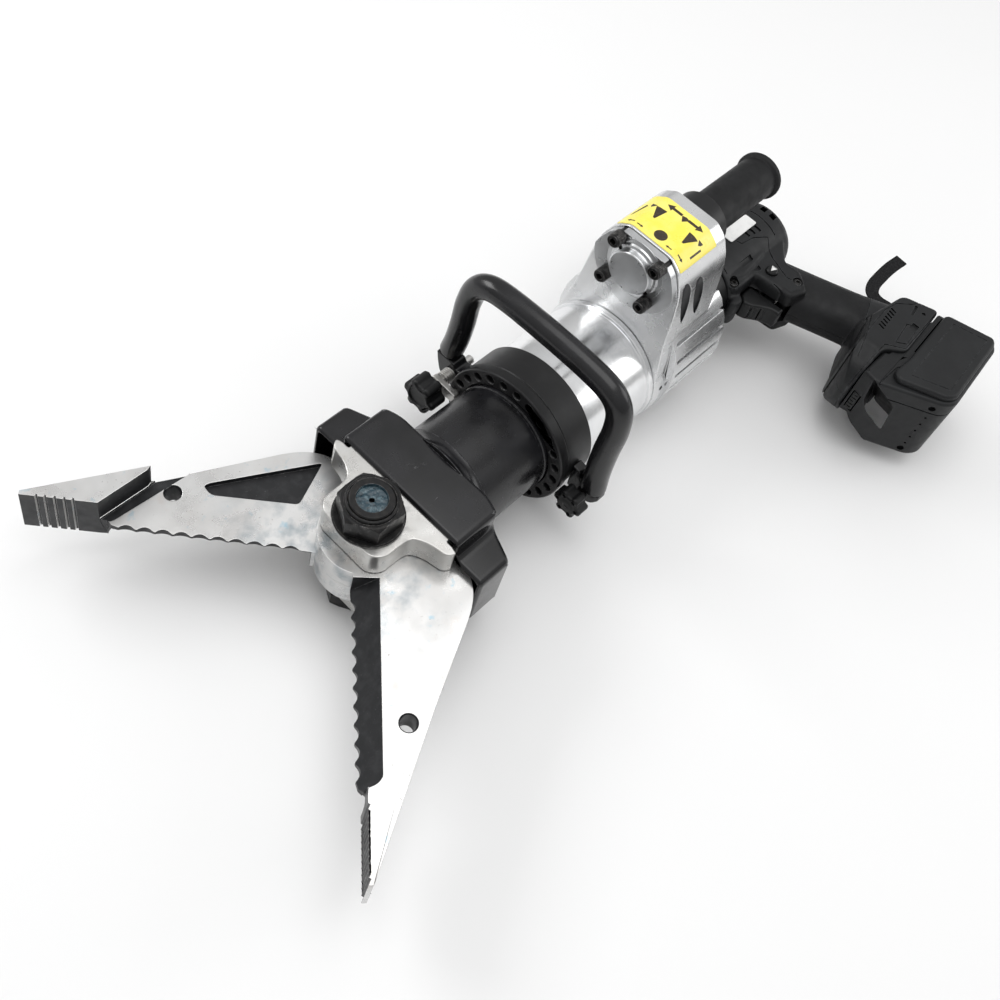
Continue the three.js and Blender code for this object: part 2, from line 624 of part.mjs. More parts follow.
// ---- drive unit --------------------------------------------------------------------------
// everything on the grip follows its tilted axis
function gripPrism(depth, thickness, from, to) {
  const section = polygon(arc(0, 0, 1, 0, 360 - 20, 17).map(([u, v]) => [u * depth, v * thickness]));
  const tilt = THREE.MathUtils.degToRad(GRIP_TILT);
  const turn = new THREE.Matrix4().makeBasis(
    new THREE.Vector3(Math.cos(tilt), Math.sin(tilt), 0), new THREE.Vector3(0, 0, -1),
    new THREE.Vector3(-Math.sin(tilt), Math.cos(tilt), 0));
  return plateZ(section, from, to).applyMatrix4(turn).translate(...GRIP_TOP, 0);
}

// the foot's underside, which the battery slides along
const SEAM = [[-446, 146], [-390, 150.2], [-379, 137.5], [-352.5, 138]];
const THROAT = [
  [-349, 14], [-346.5, 24], [-350, 31], [-372, 31], [-376, 62], [-391, 67], [-404, 52], [-403, 38],
  [-420, 25],
  [-427, 14]];
const CLAW = [[-352, 16], [-346, 18], [-346, 31], [-340.5, 32], [-343, 38], [-352, 38], [-357, 31]];
const CLAW_HALF_WIDTH = 12;
const THROAT_HALF_WIDTH = 21;
const FOOT_INSIDE = [
  [-433, 122], [-441, 142.5], [-393, 146], [-384, 134], [-362, 134], [-366, 124], [-398, 116]];
const FOOT_TOP = [[-351, 132], [-357, 126], [-368, 120], [-398, 113], [-436, 119]];
// how far forward the foot reaches at each height
const FOOT_FRONT = [[-351, 9], [-356, 22], [-375, 34], [-470, 34]];
const SHELL_SCREWS = [[-351.6, 25, THROAT_HALF_WIDTH], [-393, 56, THROAT_HALF_WIDTH]];

function foot(wall) {
  const outline = wall ? FOOT_INSIDE : [...SEAM, ...FOOT_TOP];
  const front = mirrored(FOOT_FRONT.map(([x, z]) => [wall ? x - wall : x, z - wall]));
  const plan = plateZ(polygon(outline), -FOOT_HALF_WIDTH + wall, FOOT_HALF_WIDTH - wall);
  return common(plan, plateZ(polygon(front), -170, -90).rotateX(Math.PI / 2));
}

function shellOutside() {
  const motor = turnedX([
    [0, MOTOR_REAR_X], [24, MOTOR_REAR_X], [29, MOTOR_REAR_X + 3], [MOTOR_RADIUS, MOTOR_REAR_X + 8],
    [MOTOR_RADIUS, NOSE_REAR_X - GAP], [0, NOSE_REAR_X - GAP]], LARGE);
  const throat = plateZ(polygon(THROAT), -THROAT_HALF_WIDTH, THROAT_HALF_WIDTH);
  const claw = plateZ(polygon(CLAW), -CLAW_HALF_WIDTH, CLAW_HALF_WIDTH);
  const grip = gripPrism(GRIP_DEPTH, GRIP_THICKNESS, 15, 130);
  return join(motor, throat, claw, grip, foot(0));
}

function shellInside() {
  const throat = [
    [-357, 18], [-359, 27.5], [-376, 28], [-379.5, 59], [-390, 62], [-400, 50], [-399, 39], [-417, 24],
    [-421, 14]];
  return join(
    rodX(MOTOR_RADIUS - SHELL_WALL, MOTOR_REAR_X + SHELL_WALL, NOSE_REAR_X + 5, MEDIUM),
    plateZ(polygon(throat), -THROAT_HALF_WIDTH + SHELL_WALL, THROAT_HALF_WIDTH - SHELL_WALL),
    gripPrism(GRIP_DEPTH - SHELL_WALL, GRIP_THICKNESS - SHELL_WALL, 12, 120),
    foot(SHELL_WALL));
}

function addShells() {
  const bosses = SHELL_SCREWS.map(([x, y, top]) => rodZ(5, -top, top, SMALL, x, y));
  const vents = [0, 1, 2, 3].flatMap((i) => [
    box(MOTOR_REAR_X + 6, MOTOR_REAR_X + 12, -23 + 9 * i, -18 + 9 * i, 15, 60),
    box(MOTOR_REAR_X + 6, MOTOR_REAR_X + 12, -23 + 9 * i, -18 + 9 * i, -60, -15)]);
  const screwHoles = SHELL_SCREWS.flatMap(([x, y, top]) => [
    rodZ(2.1, -10, 60, TINY, x, y), rodZ(3.9, top - 3, 60, SMALL, x, y)]);
  const triggerSlot = box(-394, -360, 30.5, 64, -9.2, 9.2);
  const buttonHole = rodZ(5, -60, 60, SMALL, ...BUTTON_PLACE);
  const hollow = cut(shellOutside(), shellInside());
  const whole = cut(join(hollow, ...bosses), triggerSlot, buttonHole, ...vents, ...screwHoles);
  add('shell_right', cut(whole, box(-600, 0, -300, 300, -100, GAP / 2)), 'black_plastic');
  add('shell_left', cut(whole, box(-600, 0, -300, 300, -GAP / 2, 100)), 'black_plastic');
  SHELL_SCREWS.forEach(([x, y, top], i) => {
    const screw = join(rodZ(3.5, top - 2.7, top - 0.3, SMALL, x, y), rodZ(1.8, -9, top - 2.5, TINY, x, y));
    add(`shell_screw_${i + 1}`, cut(screw, plateZ(hexagon(3), top - 1.8, top + 5).translate(x, y, 0)),
      'dark_steel');
  });
}

function addMotor() {
  const nose = turnedX([
    [8, -304.4], [26, -304.4], [28, -312], [30, -330], [30, NOSE_REAR_X], [22, NOSE_REAR_X], [22, -311],
    [8, -309], [8, -304.4]], LARGE);
  add('drive_nose', nose, 'black_plastic');
  add('gear_carrier', join(rodX(6.5, -340, -304.6, SMALL), rodX(20, -341, -316, MEDIUM)), 'satin_steel');
  add('motor_stator', tubeX(27.6, 13.6, -405, -357, MEDIUM), 'copper');
  add('motor_rotor', join(rodX(13, -403, -359, MEDIUM), rodX(4, -426, -343, SMALL)), 'satin_steel');
  const hub = tubeX(8, 4.2, -422, -408, SMALL);
  const blades = Array.from({ length: 8 }, (_, i) => box(-420, -410, 7, 25, -0.8,
    0.8).rotateX((i * Math.PI) / 4));
  add('cooling_fan', join(hub, ...blades), 'black_plastic');
  add('name_plate', box(-405, -371, -8.5, 3.5, MOTOR_RADIUS + GAP, MOTOR_RADIUS + 1.2), 'pale_plate');
}

function addControls() {
  const face = [
    [-371.4, 31.5], [-358.5, 31.5], [-353.5, 37], [-355, 43], [-361, 50], [-365.5, 56], [-366.5, 62.5],
    [-373.4, 62.5]];
  add('trigger', join(plateZ(polygon(face), -8.5, 8.5), box(-380, -370, 44, 52, -6, 6)), 'black_plastic');
  const spring = tubeX(4.5, 3.2, -392, -380.4, TINY).translate(0, 48, 0);
  add('trigger_spring', spring, 'satin_steel');
  add('direction_button', rodZ(4.7, -24, 24, SMALL, ...BUTTON_PLACE), 'black_plastic');
}

addShells();
addMotor();
addControls();

// ---- battery -----------------------------------------------------------------------------
const FINGER_HOLE = [[147.5, 14], [150, -9], [155.5, -16], [171, -20], [168.5, 6], [152, 10.5]];
const CASE_TOP_Z = 31;

// the finger hole runs from the front face down and back through the underside
function fingerHole() {
  const steep = THREE.MathUtils.degToRad(52);
  const hole = prismX(polygon(FINGER_HOLE), -60, 40);
  const shear = new THREE.Matrix4().set(1, 0, 0, -365, 0, 1, 0, 0, Math.tan(steep), 0, 1, 0, 0, 0, 0, 1);
  return hole.applyMatrix4(shear);
}

// the wedge that is missing at the front of the underside, below the release button
function lowCorner() {
  return toGeometry(wasm.Manifold.hull([
    [-381, 145, -34], [-351.4, 145, -12], [-360, 168, -34], [-381, 145, -50], [-330, 145, -12],
    [-330, 168, -34],
    [-330, 145, -50], [-360, 168, -50], [-330, 168, -50], [-385, 130, -37], [-351.4, 130, -16],
    [-330, 130, -16],
    [-385, 130, -50], [-330, 130, -50]]));
}

function addBattery() {
  const top = SEAM.map(([x, y]) => [x - 0.2, y + 0.6]);
  const outline = [...top, [-350.5, 150], [-357, 163], [-374, 195], [-382, 200], [-452, 194], [-458, 189]];
  const cavity = [[-443.5, 150.5], [-398, 153.5], [-396, 192], [-452.5, 188.5]];
  const block = cut(
    plateZ(polygon(outline), -FOOT_HALF_WIDTH, CASE_TOP_Z), plateZ(polygon(cavity),
    -FOOT_HALF_WIDTH + 3, 60),
    fingerHole(), lowCorner(), box(-363.4, -340, 140.5, 147.5, -9.3, 9.3));
  add('battery_case', block, 'black_plastic');
  const pad = [[-446, 151], [-456, 188], [-450, 192], [-383, 197.5], [-376, 193], [-361, 160],
    [-366, 153.5], [-386, 155]];
  add('battery_lid', plateZ(softPolygon(pad, 3), CASE_TOP_Z + GAP, 36), 'black_plastic');
  const places = [[-433, 161.5], [-414, 162.5], [-437, 179.5], [-417.5, 180.5]];
  const cells = places.map(([x, y]) => rodZ(8.8, -30, 29, SMALL, x, y));
  const strips = [-30.5, 28].map((z) => box(-440, -415, 160, 184, z, z + 1.5));
  add('battery_cells', join(...cells, ...strips), 'copper');
  add('battery_release_button', box(-360, -350.8, 141, 147, -9, 9), 'black_plastic');
}

function addStrap() {
  const path = [
    [-446.8, 132], [-450.5, 123], [-453.2, 114], [-451.6, 104], [-455, 96], [-464, 92], [-478, 91],
    [-492, 91],
    [-507, 92.5]];
  const side = (offset) => path.map(([x, y], i) => {
    const [ax, ay] = path[Math.max(i - 1, 0)];
    const [bx, by] = path[Math.min(i + 1, path.length - 1)];
    const across = new THREE.Vector2(ay - by, bx - ax).setLength(offset);
    return [x + across.x, y + across.y];
  });
  add('wrist_strap', plateZ(polygon([...side(5.5), ...side(-5.5).reverse()]), -1.3, 1.3), 'webbing');
}

addBattery();
addStrap();

// ---- stand the tool on the bottom centre of its box --------------------------------------
const bounds = new THREE.Box3().setFromObject(tool);
const middle = bounds.getCenter(new THREE.Vector3());
tool.position.set(-middle.x, -middle.y, -bounds.min.z);

export default tool;
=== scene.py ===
# Rescue cutter: the visual model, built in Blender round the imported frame.
# Every shape below is written in millimetres in the tool's own frame: the pivot bolt's axis
# crosses the cylinder's axis at the origin, +X runs to the blade tips, +Y to the battery and
# +Z up. place() turns it into the frame's metres.
import math

import bmesh
import bpy
from mathutils import Matrix, Vector
from mathutils.noise import noise as smooth_noise


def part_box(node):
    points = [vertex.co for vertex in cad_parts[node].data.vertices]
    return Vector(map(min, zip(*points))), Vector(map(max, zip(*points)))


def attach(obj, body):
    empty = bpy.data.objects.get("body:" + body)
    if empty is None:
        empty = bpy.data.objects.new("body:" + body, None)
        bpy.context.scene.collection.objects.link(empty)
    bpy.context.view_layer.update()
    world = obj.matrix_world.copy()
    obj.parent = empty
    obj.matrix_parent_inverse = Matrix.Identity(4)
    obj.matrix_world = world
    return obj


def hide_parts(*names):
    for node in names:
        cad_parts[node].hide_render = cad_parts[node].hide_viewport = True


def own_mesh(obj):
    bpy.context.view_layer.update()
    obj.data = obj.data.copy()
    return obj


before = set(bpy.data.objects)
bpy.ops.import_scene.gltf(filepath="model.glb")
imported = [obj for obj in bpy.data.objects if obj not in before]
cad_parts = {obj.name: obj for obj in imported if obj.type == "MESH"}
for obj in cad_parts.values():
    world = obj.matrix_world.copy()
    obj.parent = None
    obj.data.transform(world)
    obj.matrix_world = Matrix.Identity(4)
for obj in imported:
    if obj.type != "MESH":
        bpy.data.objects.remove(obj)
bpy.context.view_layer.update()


MM = 0.001


def middle(node):
    low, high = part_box(node)
    return (low + high) / 2


ORIGIN = Vector((middle("pivot_bolt").x, middle("pivot_bolt").y, middle("cylinder_barrel").z))

# ---- driving dimensions ------------------------------------------------------------------
OPEN_ANGLE = 47.4
BLADE_THICKNESS = 18
TIP_X = 203
ARM_PIN_CLOSED = (-7.25, 37.3)
BOLT_RADIUS = 14
EAR_INNER_Z = 18.3
EAR_OUTER_Z = 38
NUT_ACROSS_FLATS = 36
NUT_TOP_Z = 57
SHROUD_TOP_Z = 41
SHROUD_WIDTH = 50
WING_WIDTH = 73
WING_Z = 25
BARREL_RADIUS = 38.7
RING_RADIUS = 50.6
RING_HOLES = 24
RING_HOLE_CIRCLE = 44.6
SLEEVE_RADIUS = 49.5
FRONT_RADIUS = 46.1
BAIL_X = -145
BAIL_RADIUS = 8.5
BAIL_HALF_WIDTH = 64
BAIL_TOP_Z = 95
BAIL_CORNER = 26
PAWL_Y = -58
CLAMP_Y = 62.3
CLAMP_Z = -6
HOUSING_FRONT_X = -231
HOUSING_REAR_X = -300
LOBE_REAR_X = -283
VALVE_Z = 101.5
SCREW_OFFSET = 16.8
GRIP_RADIUS = 15.25
GRIP_END_X = -369
NOSE_REAR_X = -345
MOTOR_RADIUS = 31
MOTOR_REAR_X = -432
GRIP_TOP = (-378.8, 0)
GRIP_TILT = 20.9
GRIP_SQUARENESS = 0.86
BUTTON_PLACE = (-384, 37)
FOOT_HALF_WIDTH = 34
FINE = 128
ROUND = 72
SMALL = 32


# ---- outlines ----------------------------------------------------------------------------
def lerp(a, b, t):
    return a + (b - a) * t


def arc(cu, cv, radius, from_degrees, to_degrees, steps):
    angles = [math.radians(lerp(from_degrees, to_degrees, i / steps)) for i in range(steps + 1)]
    return [(cu + radius * math.cos(a), cv + radius * math.sin(a)) for a in angles]


def circle(cu, cv, radius, steps=ROUND):
    return arc(cu, cv, radius, 0, 360 - 360 / steps, steps - 1)


def hexagon(across_flats):
    return circle(0, 0, across_flats / math.sqrt(3), 6)


def star(lobes, outer, inner):
    count = lobes * 16
    swing = (outer - inner) / 2
    points = []
    for i in range(count):
        angle = 2 * math.pi * i / count
        wave = math.tanh(2.2 * math.cos(lobes * angle)) / math.tanh(2.2)
        radius = (outer + inner) / 2 + swing * wave
        points.append((radius * math.cos(angle), radius * math.sin(angle)))
    return points


def rounded(points, reach, steps=7):
    """The outline with each corner turned into a curve that starts reach before it."""
    out = []
    for i, point in enumerate(points):
        corner = Vector(point[:2])
        own = point[2] if len(point) > 2 else reach
        before = Vector(points[i - 1][:2]) - corner
        after = Vector(points[(i + 1) % len(points)][:2]) - corner
        length = min(own, before.length / 2.2, after.length / 2.2)
        if length < 0.05:
            out.append(tuple(corner))
            continue
        start = corner + before.normalized() * length
        end = corner + after.normalized() * length
        for k in range(steps + 1):
            t = k / steps
            out.append(tuple(start * (1 - t) ** 2 + corner * (2 * t * (1 - t)) + end * t * t))
    return out


def spline(points, steps):
    """A uniform Catmull-Rom curve through 3-D points."""
    known = [Vector(p) for p in points]
    known = [2 * known[0] - known[1]] + known + [2 * known[-1] - known[-2]]
    out = []
    for i in range(1, len(known) - 2):
        a, b, c, d = known[i - 1:i + 3]
        for k in range(steps):
            t = k / steps
            linear = (c - a) * t
            square = (2 * a - 5 * b + 4 * c - d) * t * t
            cube = (3 * b - a - 3 * c + d) * t ** 3
            out.append(b + (linear + square + cube) / 2)
    return out + [known[-2]]


# ---- solids ------------------------------------------------------------------------------
def outward(work):
    bmesh.ops.recalc_face_normals(work, faces=work.faces)
    if work.calc_volume(signed=True) < 0:
        bmesh.ops.reverse_faces(work, faces=work.faces)


def solid(vertices, faces, material):
    mesh = bpy.data.meshes.new("solid")
    mesh.from_pydata([tuple(v) for v in vertices], [], faces)
    work = bmesh.new()
    work.from_mesh(mesh)
    bmesh.ops.remove_doubles(work, verts=work.verts, dist=1e-4)
    outward(work)
    work.to_mesh(mesh)
    work.free()
    made = bpy.data.objects.new("solid", mesh)
    bpy.context.scene.collection.objects.link(made)
    mesh.materials.append(material)
    return made


def along(axis, u, v, w):
    """A point of an outline (u, v) at the height w along an axis."""
    return {"z": (u, v, w), "x": (w, u, v), "y": (u, w, v)}[axis]


def rings(sections, material, closed=False):
    """A solid through rings of points that all have the same count."""
    count = len(sections[0])
    vertices = [p for ring in sections for p in ring]
    faces = []
    last = len(sections) if closed else len(sections) - 1
    for i in range(last):
        a, b = i * count, (i + 1) % len(sections) * count
        faces += [(a + k, a + (k + 1) % count, b + (k + 1) % count, b + k) for k in range(count)]
    if not closed:
        faces.append(tuple(range(count)))
        faces.append(tuple(range((len(sections) - 1) * count, len(sections) * count)))
    return solid(vertices, faces, material)


def inset(outline, distance):
    """The outline drawn in by a distance, corner by corner."""
    area = sum(a[0] * b[1] - b[0] * a[1] for a, b in zip(outline, outline[1:] + outline[:1]))
    sign = 1 if area > 0 else -1
    out = []
    for i, point in enumerate(outline):
        here = Vector(point)
        into = (here - Vector(outline[i - 1])).normalized()
        away = (Vector(outline[(i + 1) % len(outline)]) - here).normalized()
        normal = Vector((-into.y - away.y, into.x + away.x)) * sign
        if normal.length < 1e-6:
            out.append(tuple(here))
            continue
        normal.normalize()
        lean = max(0.35, normal.dot(Vector((-into.y, into.x)) * sign))
        out.append(tuple(here + normal * (distance / lean)))
    return out


def prism(outline, low, high, material, axis="z", rim=0, low_rim=None, steps=4):
    """An outline extruded along an axis, with rounded rims at its two ends."""
    low, high = min(low, high), max(low, high)
    low_rim = rim if low_rim is None else low_rim
    quarter = [math.pi / 2 * k / steps for k in range(steps + 1)]
    lower = [(low_rim * (1 - math.sin(a)), low + low_rim * (1 - math.cos(a))) for a in quarter]
    upper = [(rim * (1 - math.cos(a)), high - rim * (1 - math.sin(a))) for a in quarter]
    levels = lower[:None if low_rim else 1] + upper[:None if rim else 1]
    sections = [[along(axis, u, v, w) for u, v in inset(outline, d)] for d, w in levels]
    return rings(sections, material)


def turned(profile, material, axis="x", centre=(0, 0), steps=FINE):
    """A profile of (radius, place along the axis) turned round it."""
    closed = profile[0] == profile[-1]
    points = profile[:-1] if closed else profile
    vertices, starts = [], []
    for radius, w in points:
        starts.append(len(vertices))
        if radius < 1e-6:
            vertices.append(along(axis, centre[0], centre[1], w))
        else:
            vertices += [along(axis, u, v, w) for u, v in circle(*centre, radius, steps)]
    faces = []
    pairs = list(zip(range(len(points)), list(range(1, len(points))) + [0]))
    for i, j in pairs if closed else pairs[:-1]:
        a, b = starts[i], starts[j]
        flat_a, flat_b = points[i][0] < 1e-6, points[j][0] < 1e-6
        for k in range(steps):
            n = (k + 1) % steps
            if flat_a and not flat_b:
                faces.append((a, b + n, b + k))
            elif flat_b and not flat_a:
                faces.append((a + k, a + n, b))
            elif not flat_a:
                faces.append((a + k, a + n, b + n, b + k))
    return solid(vertices, faces, material)


def rod(radius, low, high, material, axis="x", centre=(0, 0), steps=SMALL, chamfer=0):
    low, high = min(low, high), max(low, high)
    side = [(radius, low), (radius, high)]
    if chamfer:
        edge = radius - chamfer
        side = [(edge, low), (radius, low + chamfer), (radius, high - chamfer), (edge, high)]
    profile = [(0, low), *side, (0, high)]
    return turned(profile, material, axis, centre, steps)


def tube(outer, inner, low, high, material, axis="x", centre=(0, 0), steps=FINE, chamfer=0.4):
    low, high = min(low, high), max(low, high)
    profile = [
        (inner, low), (outer - chamfer, low), (outer, low + chamfer), (outer, high - chamfer),
        (outer - chamfer, high), (inner, high), (inner, low)]
    return turned(profile, material, axis, centre, steps)


def block(x0, x1, y0, y1, z0, z1, material):
    return prism([(x0, y0), (x1, y0), (x1, y1), (x0, y1)], z0, z1, material)


def hull(points, material):
    """The convex solid round the points."""
    work = bmesh.new()
    for point in points:
        work.verts.new(point)
    bmesh.ops.convex_hull(work, input=work.verts)
    mesh = bpy.data.meshes.new("hull")
    work.to_mesh(mesh)
    work.free()
    made = solid([v.co for v in mesh.vertices], [tuple(f.vertices) for f in mesh.polygons], material)
    bpy.data.meshes.remove(mesh)
    return made


def sweep(path, section, material):
    """A section carried along a path that never runs along X."""
    sections = []
    for i, point in enumerate(path):
        heading = (path[min(i + 1, len(path) - 1)] - path[max(i - 1, 0)]).normalized()
        side = heading.cross(Vector((1, 0, 0))).normalized()
        top = side.cross(heading)
        sections.append([point + side * u + top * v for u, v in section])
    return rings(sections, material)


def baked(made, *steps):
    """Adds modifiers, given as (type, values), and applies them."""
    for kind, values in steps:
        modifier = made.modifiers.new(kind.lower(), kind)
        for key, value in values.items():
            setattr(modifier, key, value)
    graph = bpy.context.evaluated_depsgraph_get()
    mesh = bpy.data.meshes.new_from_object(made.evaluated_get(graph))
    old = made.data
    made.modifiers.clear()
    made.data = mesh
    bpy.data.meshes.remove(old)
    return made


def remove(*objects):
    for gone in objects:
        mesh = gone.data
        bpy.data.objects.remove(gone)
        bpy.data.meshes.remove(mesh)


def combine(first, others, operation):
    values = {"operation": operation, "solver": "MANIFOLD", "material_mode": "TRANSFER"}
    baked(first, *[("BOOLEAN", {**values, "object": other}) for other in others])
    remove(*others)
    return first


def join(first, *others):
    return combine(first, others, "UNION")


def cut(first, *others):
    return combine(first, others, "DIFFERENCE")


def common(first, other):
    return combine(first, [other], "INTERSECT")


def copy(made):
    again = made.copy()
    again.data = made.data.copy()
    bpy.context.scene.collection.objects.link(again)
    return again


def moved(made, matrix):
    made.data.transform(matrix)
    if matrix.determinant() < 0:
        made.data.flip_normals()
    return made


def shifted(made, x=0, y=0, z=0):
    return moved(made, Matrix.Translation((x, y, z)))


def turned_by(made, degrees, axis):
    return moved(made, Matrix.Rotation(math.radians(degrees), 4, axis))


def mirrored_y(made):
    return moved(made, Matrix.Scale(-1, 4, (0, 1, 0)))


def clean(made, distance=0.01, angle=0.6):
    """Joins the doubled corners and drops the slivers that booleans leave."""
    work = bmesh.new()
    work.from_mesh(made.data)
    bmesh.ops.remove_doubles(work, verts=work.verts, dist=distance)
    bmesh.ops.dissolve_degenerate(work, edges=work.edges, dist=distance)
    bmesh.ops.dissolve_limit(
        work, angle_limit=math.radians(angle), verts=work.verts, edges=work.edges, delimit={"MATERIAL"})
    work.to_mesh(made.data)
    work.free()
    return made


def soften(made, width, segments=2, angle=30):
    """Rounds the sharp edges by a bevel of that width."""
    clean(made)
    values = {
        "width": width, "segments": segments, "limit_method": "ANGLE", "angle_limit": math.radians(angle),
        "use_clamp_overlap": False, "miter_outer": "MITER_ARC", "loop_slide": True}
    return baked(made, ("BEVEL", values))


def melt(made, voxel, rounds):
    """Runs the shapes of a moulding or casting into each other."""
    baked(made, ("REMESH", {"mode": "VOXEL", "voxel_size": voxel, "adaptivity": 0.0}))
    return baked(made, ("SMOOTH", {"factor": 0.5, "iterations": rounds}))


def paint(made, material, test):
    """Gives a material to the faces whose middle and normal pass a test."""
    mesh = made.data
    if material.name not in [m.name for m in mesh.materials]:
        mesh.materials.append(material)
    index = [m.name for m in mesh.materials].index(material.name)
    for face in mesh.polygons:
        if test(face.center, face.normal):
            face.material_index = index
    return made


def place(made, name, node, smooth=32, body="tool_body"):
    """Moves a finished shape into the frame, shades it and puts it on its body."""
    made.data.transform(Matrix.Translation(ORIGIN) @ Matrix.Scale(MM, 4))
    made.data.shade_smooth()
    made.data.set_sharp_from_angle(angle=math.radians(smooth))
    baked(made, ("WEIGHTED_NORMAL", {"keep_sharp": True, "weight": 90}))
    made.name = name
    made.data.name = name
    if node:
        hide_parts(node)
    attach(made, body)
    return made


# ---- materials ---------------------------------------------------------------------------
def rgba(colour):
    """The four values of a colour, or of a grey that is given as one number."""
    return (*colour, 1) if isinstance(colour, tuple) else (colour, colour, colour, 1)


class Finish:
    """A procedural surface, built up layer by layer. Sizes are in millimetres."""

    def __init__(self, name, colour, roughness, metallic=0.0, coat=0.0, coat_roughness=0.1, specular=0.5):
        self.material = bpy.data.materials.new(name)
        self.material.use_nodes = True
        self.tree = self.material.node_tree
        self.shader = self.tree.nodes["Principled BSDF"]
        self.shader.inputs["Metallic"].default_value = metallic
        self.shader.inputs["Coat Weight"].default_value = coat
        self.shader.inputs["Coat Roughness"].default_value = coat_roughness
        self.shader.inputs["Specular IOR Level"].default_value = specular
        self.colour = self.rgb(colour)
        self.roughness = roughness
        self.height = None
        self.spot = self.node("ShaderNodeTexCoord").outputs["Object"]

    def node(self, kind, inputs=None, **settings):
        made = self.tree.nodes.new(kind)
        for key, value in settings.items():
            setattr(made, key, value)
        for key, value in (inputs or {}).items():
            if isinstance(value, bpy.types.NodeSocket):
                self.tree.links.new(value, made.inputs[key])
            else:
                made.inputs[key].default_value = value
        return made

    def rgb(self, colour):
        made = self.node("ShaderNodeRGB")
        made.outputs[0].default_value = rgba(colour)
        return made.outputs[0]

    def at(self, size, stretch=(1, 1, 1)):
        scale = [s / (size * MM) for s in stretch]
        return self.node("ShaderNodeMapping", {"Vector": self.spot, "Scale": scale}).outputs[0]

    def noise(self, size, detail=3, stretch=(1, 1, 1), seed=0):
        vector = self.at(size, stretch)
        if seed:
            vector = self.node(
                "ShaderNodeVectorMath", {0: vector, 1: (seed, seed * 1.7, seed * 2.3)}).outputs[0]
        values = {"Vector": vector, "Scale": 1.0, "Detail": detail, "Roughness": 0.55}
        return self.node("ShaderNodeTexNoise", values).outputs[0]

    def between(self, value, low, high, to_low=0.0, to_high=1.0):
        values = {"Value": value, "From Min": low, "From Max": high, "To Min": to_low, "To Max": to_high}
        return self.node("ShaderNodeMapRange", values, clamp=True).outputs[0]

    def maths(self, operation, a, b=0.0):
        return self.node("ShaderNodeMath", {0: a, 1: b}, operation=operation).outputs[0]

    def mix(self, factor, colour):
        made = self.node("ShaderNodeMix", {0: factor, 6: self.colour, 7: rgba(colour)}, data_type="RGBA")
        self.colour = made.outputs[2]

    def tint(self, colour, size, low=0.4, high=0.7, detail=3, stretch=(1, 1, 1), amount=1.0, seed=0,
             where=None):
        """Mixes a colour in where a noise of that size runs from low to high."""
        mask = self.between(self.noise(size, detail, stretch, seed=seed), low, high, 0, amount)
        if where is not None:
            mask = self.maths("MULTIPLY", mask, where)
        self.mix(mask, colour)
        return mask

    def rough(self, size, spread, stretch=(1, 1, 1)):
        """Lets the roughness wander by spread each way."""
        wander = self.between(self.noise(size, 4, stretch, seed=3), 0.3, 0.7, -spread, spread)
        self.roughness = self.maths("ADD", wander, self.roughness)

    def add_roughness(self, mask, amount):
        self.roughness = self.maths("ADD", self.maths("MULTIPLY", mask, amount), self.roughness)

    def raise_by(self, height, depth):
        """Adds a height, from 0 to 1, that stands depth millimetres high."""
        scaled = self.maths("MULTIPLY", height, depth * MM)
        self.height = scaled if self.height is None else self.maths("ADD", self.height, scaled)

    def grain(self, size, depth, stretch=(1, 1, 1), detail=2, seed=5):
        self.raise_by(self.noise(size, detail, stretch, seed=seed), depth)

    def worn_edges(self, colour, radius, amount=1.0):
        """Mixes a colour in along edges, where the rounded normal leaves the flat one."""
        bevel = self.node("ShaderNodeBevel", {"Radius": radius * MM}, samples=6).outputs[0]
        flat = self.node("ShaderNodeNewGeometry").outputs["Normal"]
        facing = self.node(
            "ShaderNodeVectorMath", {0: bevel, 1: flat}, operation="DOT_PRODUCT").outputs["Value"]
        edge = self.between(self.maths("SUBTRACT", 1.0, facing), 0.01, 0.075)
        rubbed = self.between(self.noise(3.0, 4, seed=9), 0.4, 0.62, 0, amount)
        self.mix(self.maths("MULTIPLY", edge, rubbed), colour)

    def near(self, point, radius, soft):
        """1 near a point of the tool's own frame, falling to 0 past the radius."""
        centre = ORIGIN + Vector(point) * MM
        gap = self.node(
            "ShaderNodeVectorMath", {0: self.spot, 1: centre}, operation="DISTANCE").outputs["Value"]
        return self.between(gap, (radius - soft) * MM, (radius + soft) * MM, 1, 0)

    def done(self):
        links = self.tree.links
        links.new(self.colour, self.shader.inputs["Base Color"])
        if isinstance(self.roughness, bpy.types.NodeSocket):
            links.new(self.roughness, self.shader.inputs["Roughness"])
        else:
            self.shader.inputs["Roughness"].default_value = self.roughness
        if self.height is not None:
            values = {"Height": self.height, "Strength": 1.0, "Distance": 1.0}
            links.new(self.node("ShaderNodeBump", values).outputs[0], self.shader.inputs["Normal"])
        return self.material


def ground_steel():
    made = Finish("ground_steel", (0.64, 0.64, 0.635), 0.3, 0.8)
    made.tint((0.5, 0.485, 0.47), 38, 0.35, 0.75, amount=0.6)
    made.tint((0.5, 0.4, 0.34), 16, 0.58, 0.8, detail=5, amount=0.35, seed=11)
    made.tint(
        (0.12, 0.1, 0.09), 1.5, 0.66, 0.74, detail=3, amount=0.75, seed=21,
        where=made.between(made.noise(26, seed=4), 0.45, 0.62))
    greasy = made.near((30, 0, 0), 62, 26)
    made.tint((0.16, 0.22, 0.26), 14, 0.46, 0.66, detail=5, amount=0.6, seed=31, where=greasy)
    made.tint((0.2, 0.42, 0.55), 9, 0.62, 0.74, detail=5, amount=0.55, seed=41)
    made.rough(20, 0.1)
    made.grain(0.7, 0.006, stretch=(0.12, 1, 1))
    made.grain(8, 0.007, seed=8)
    return made.done()


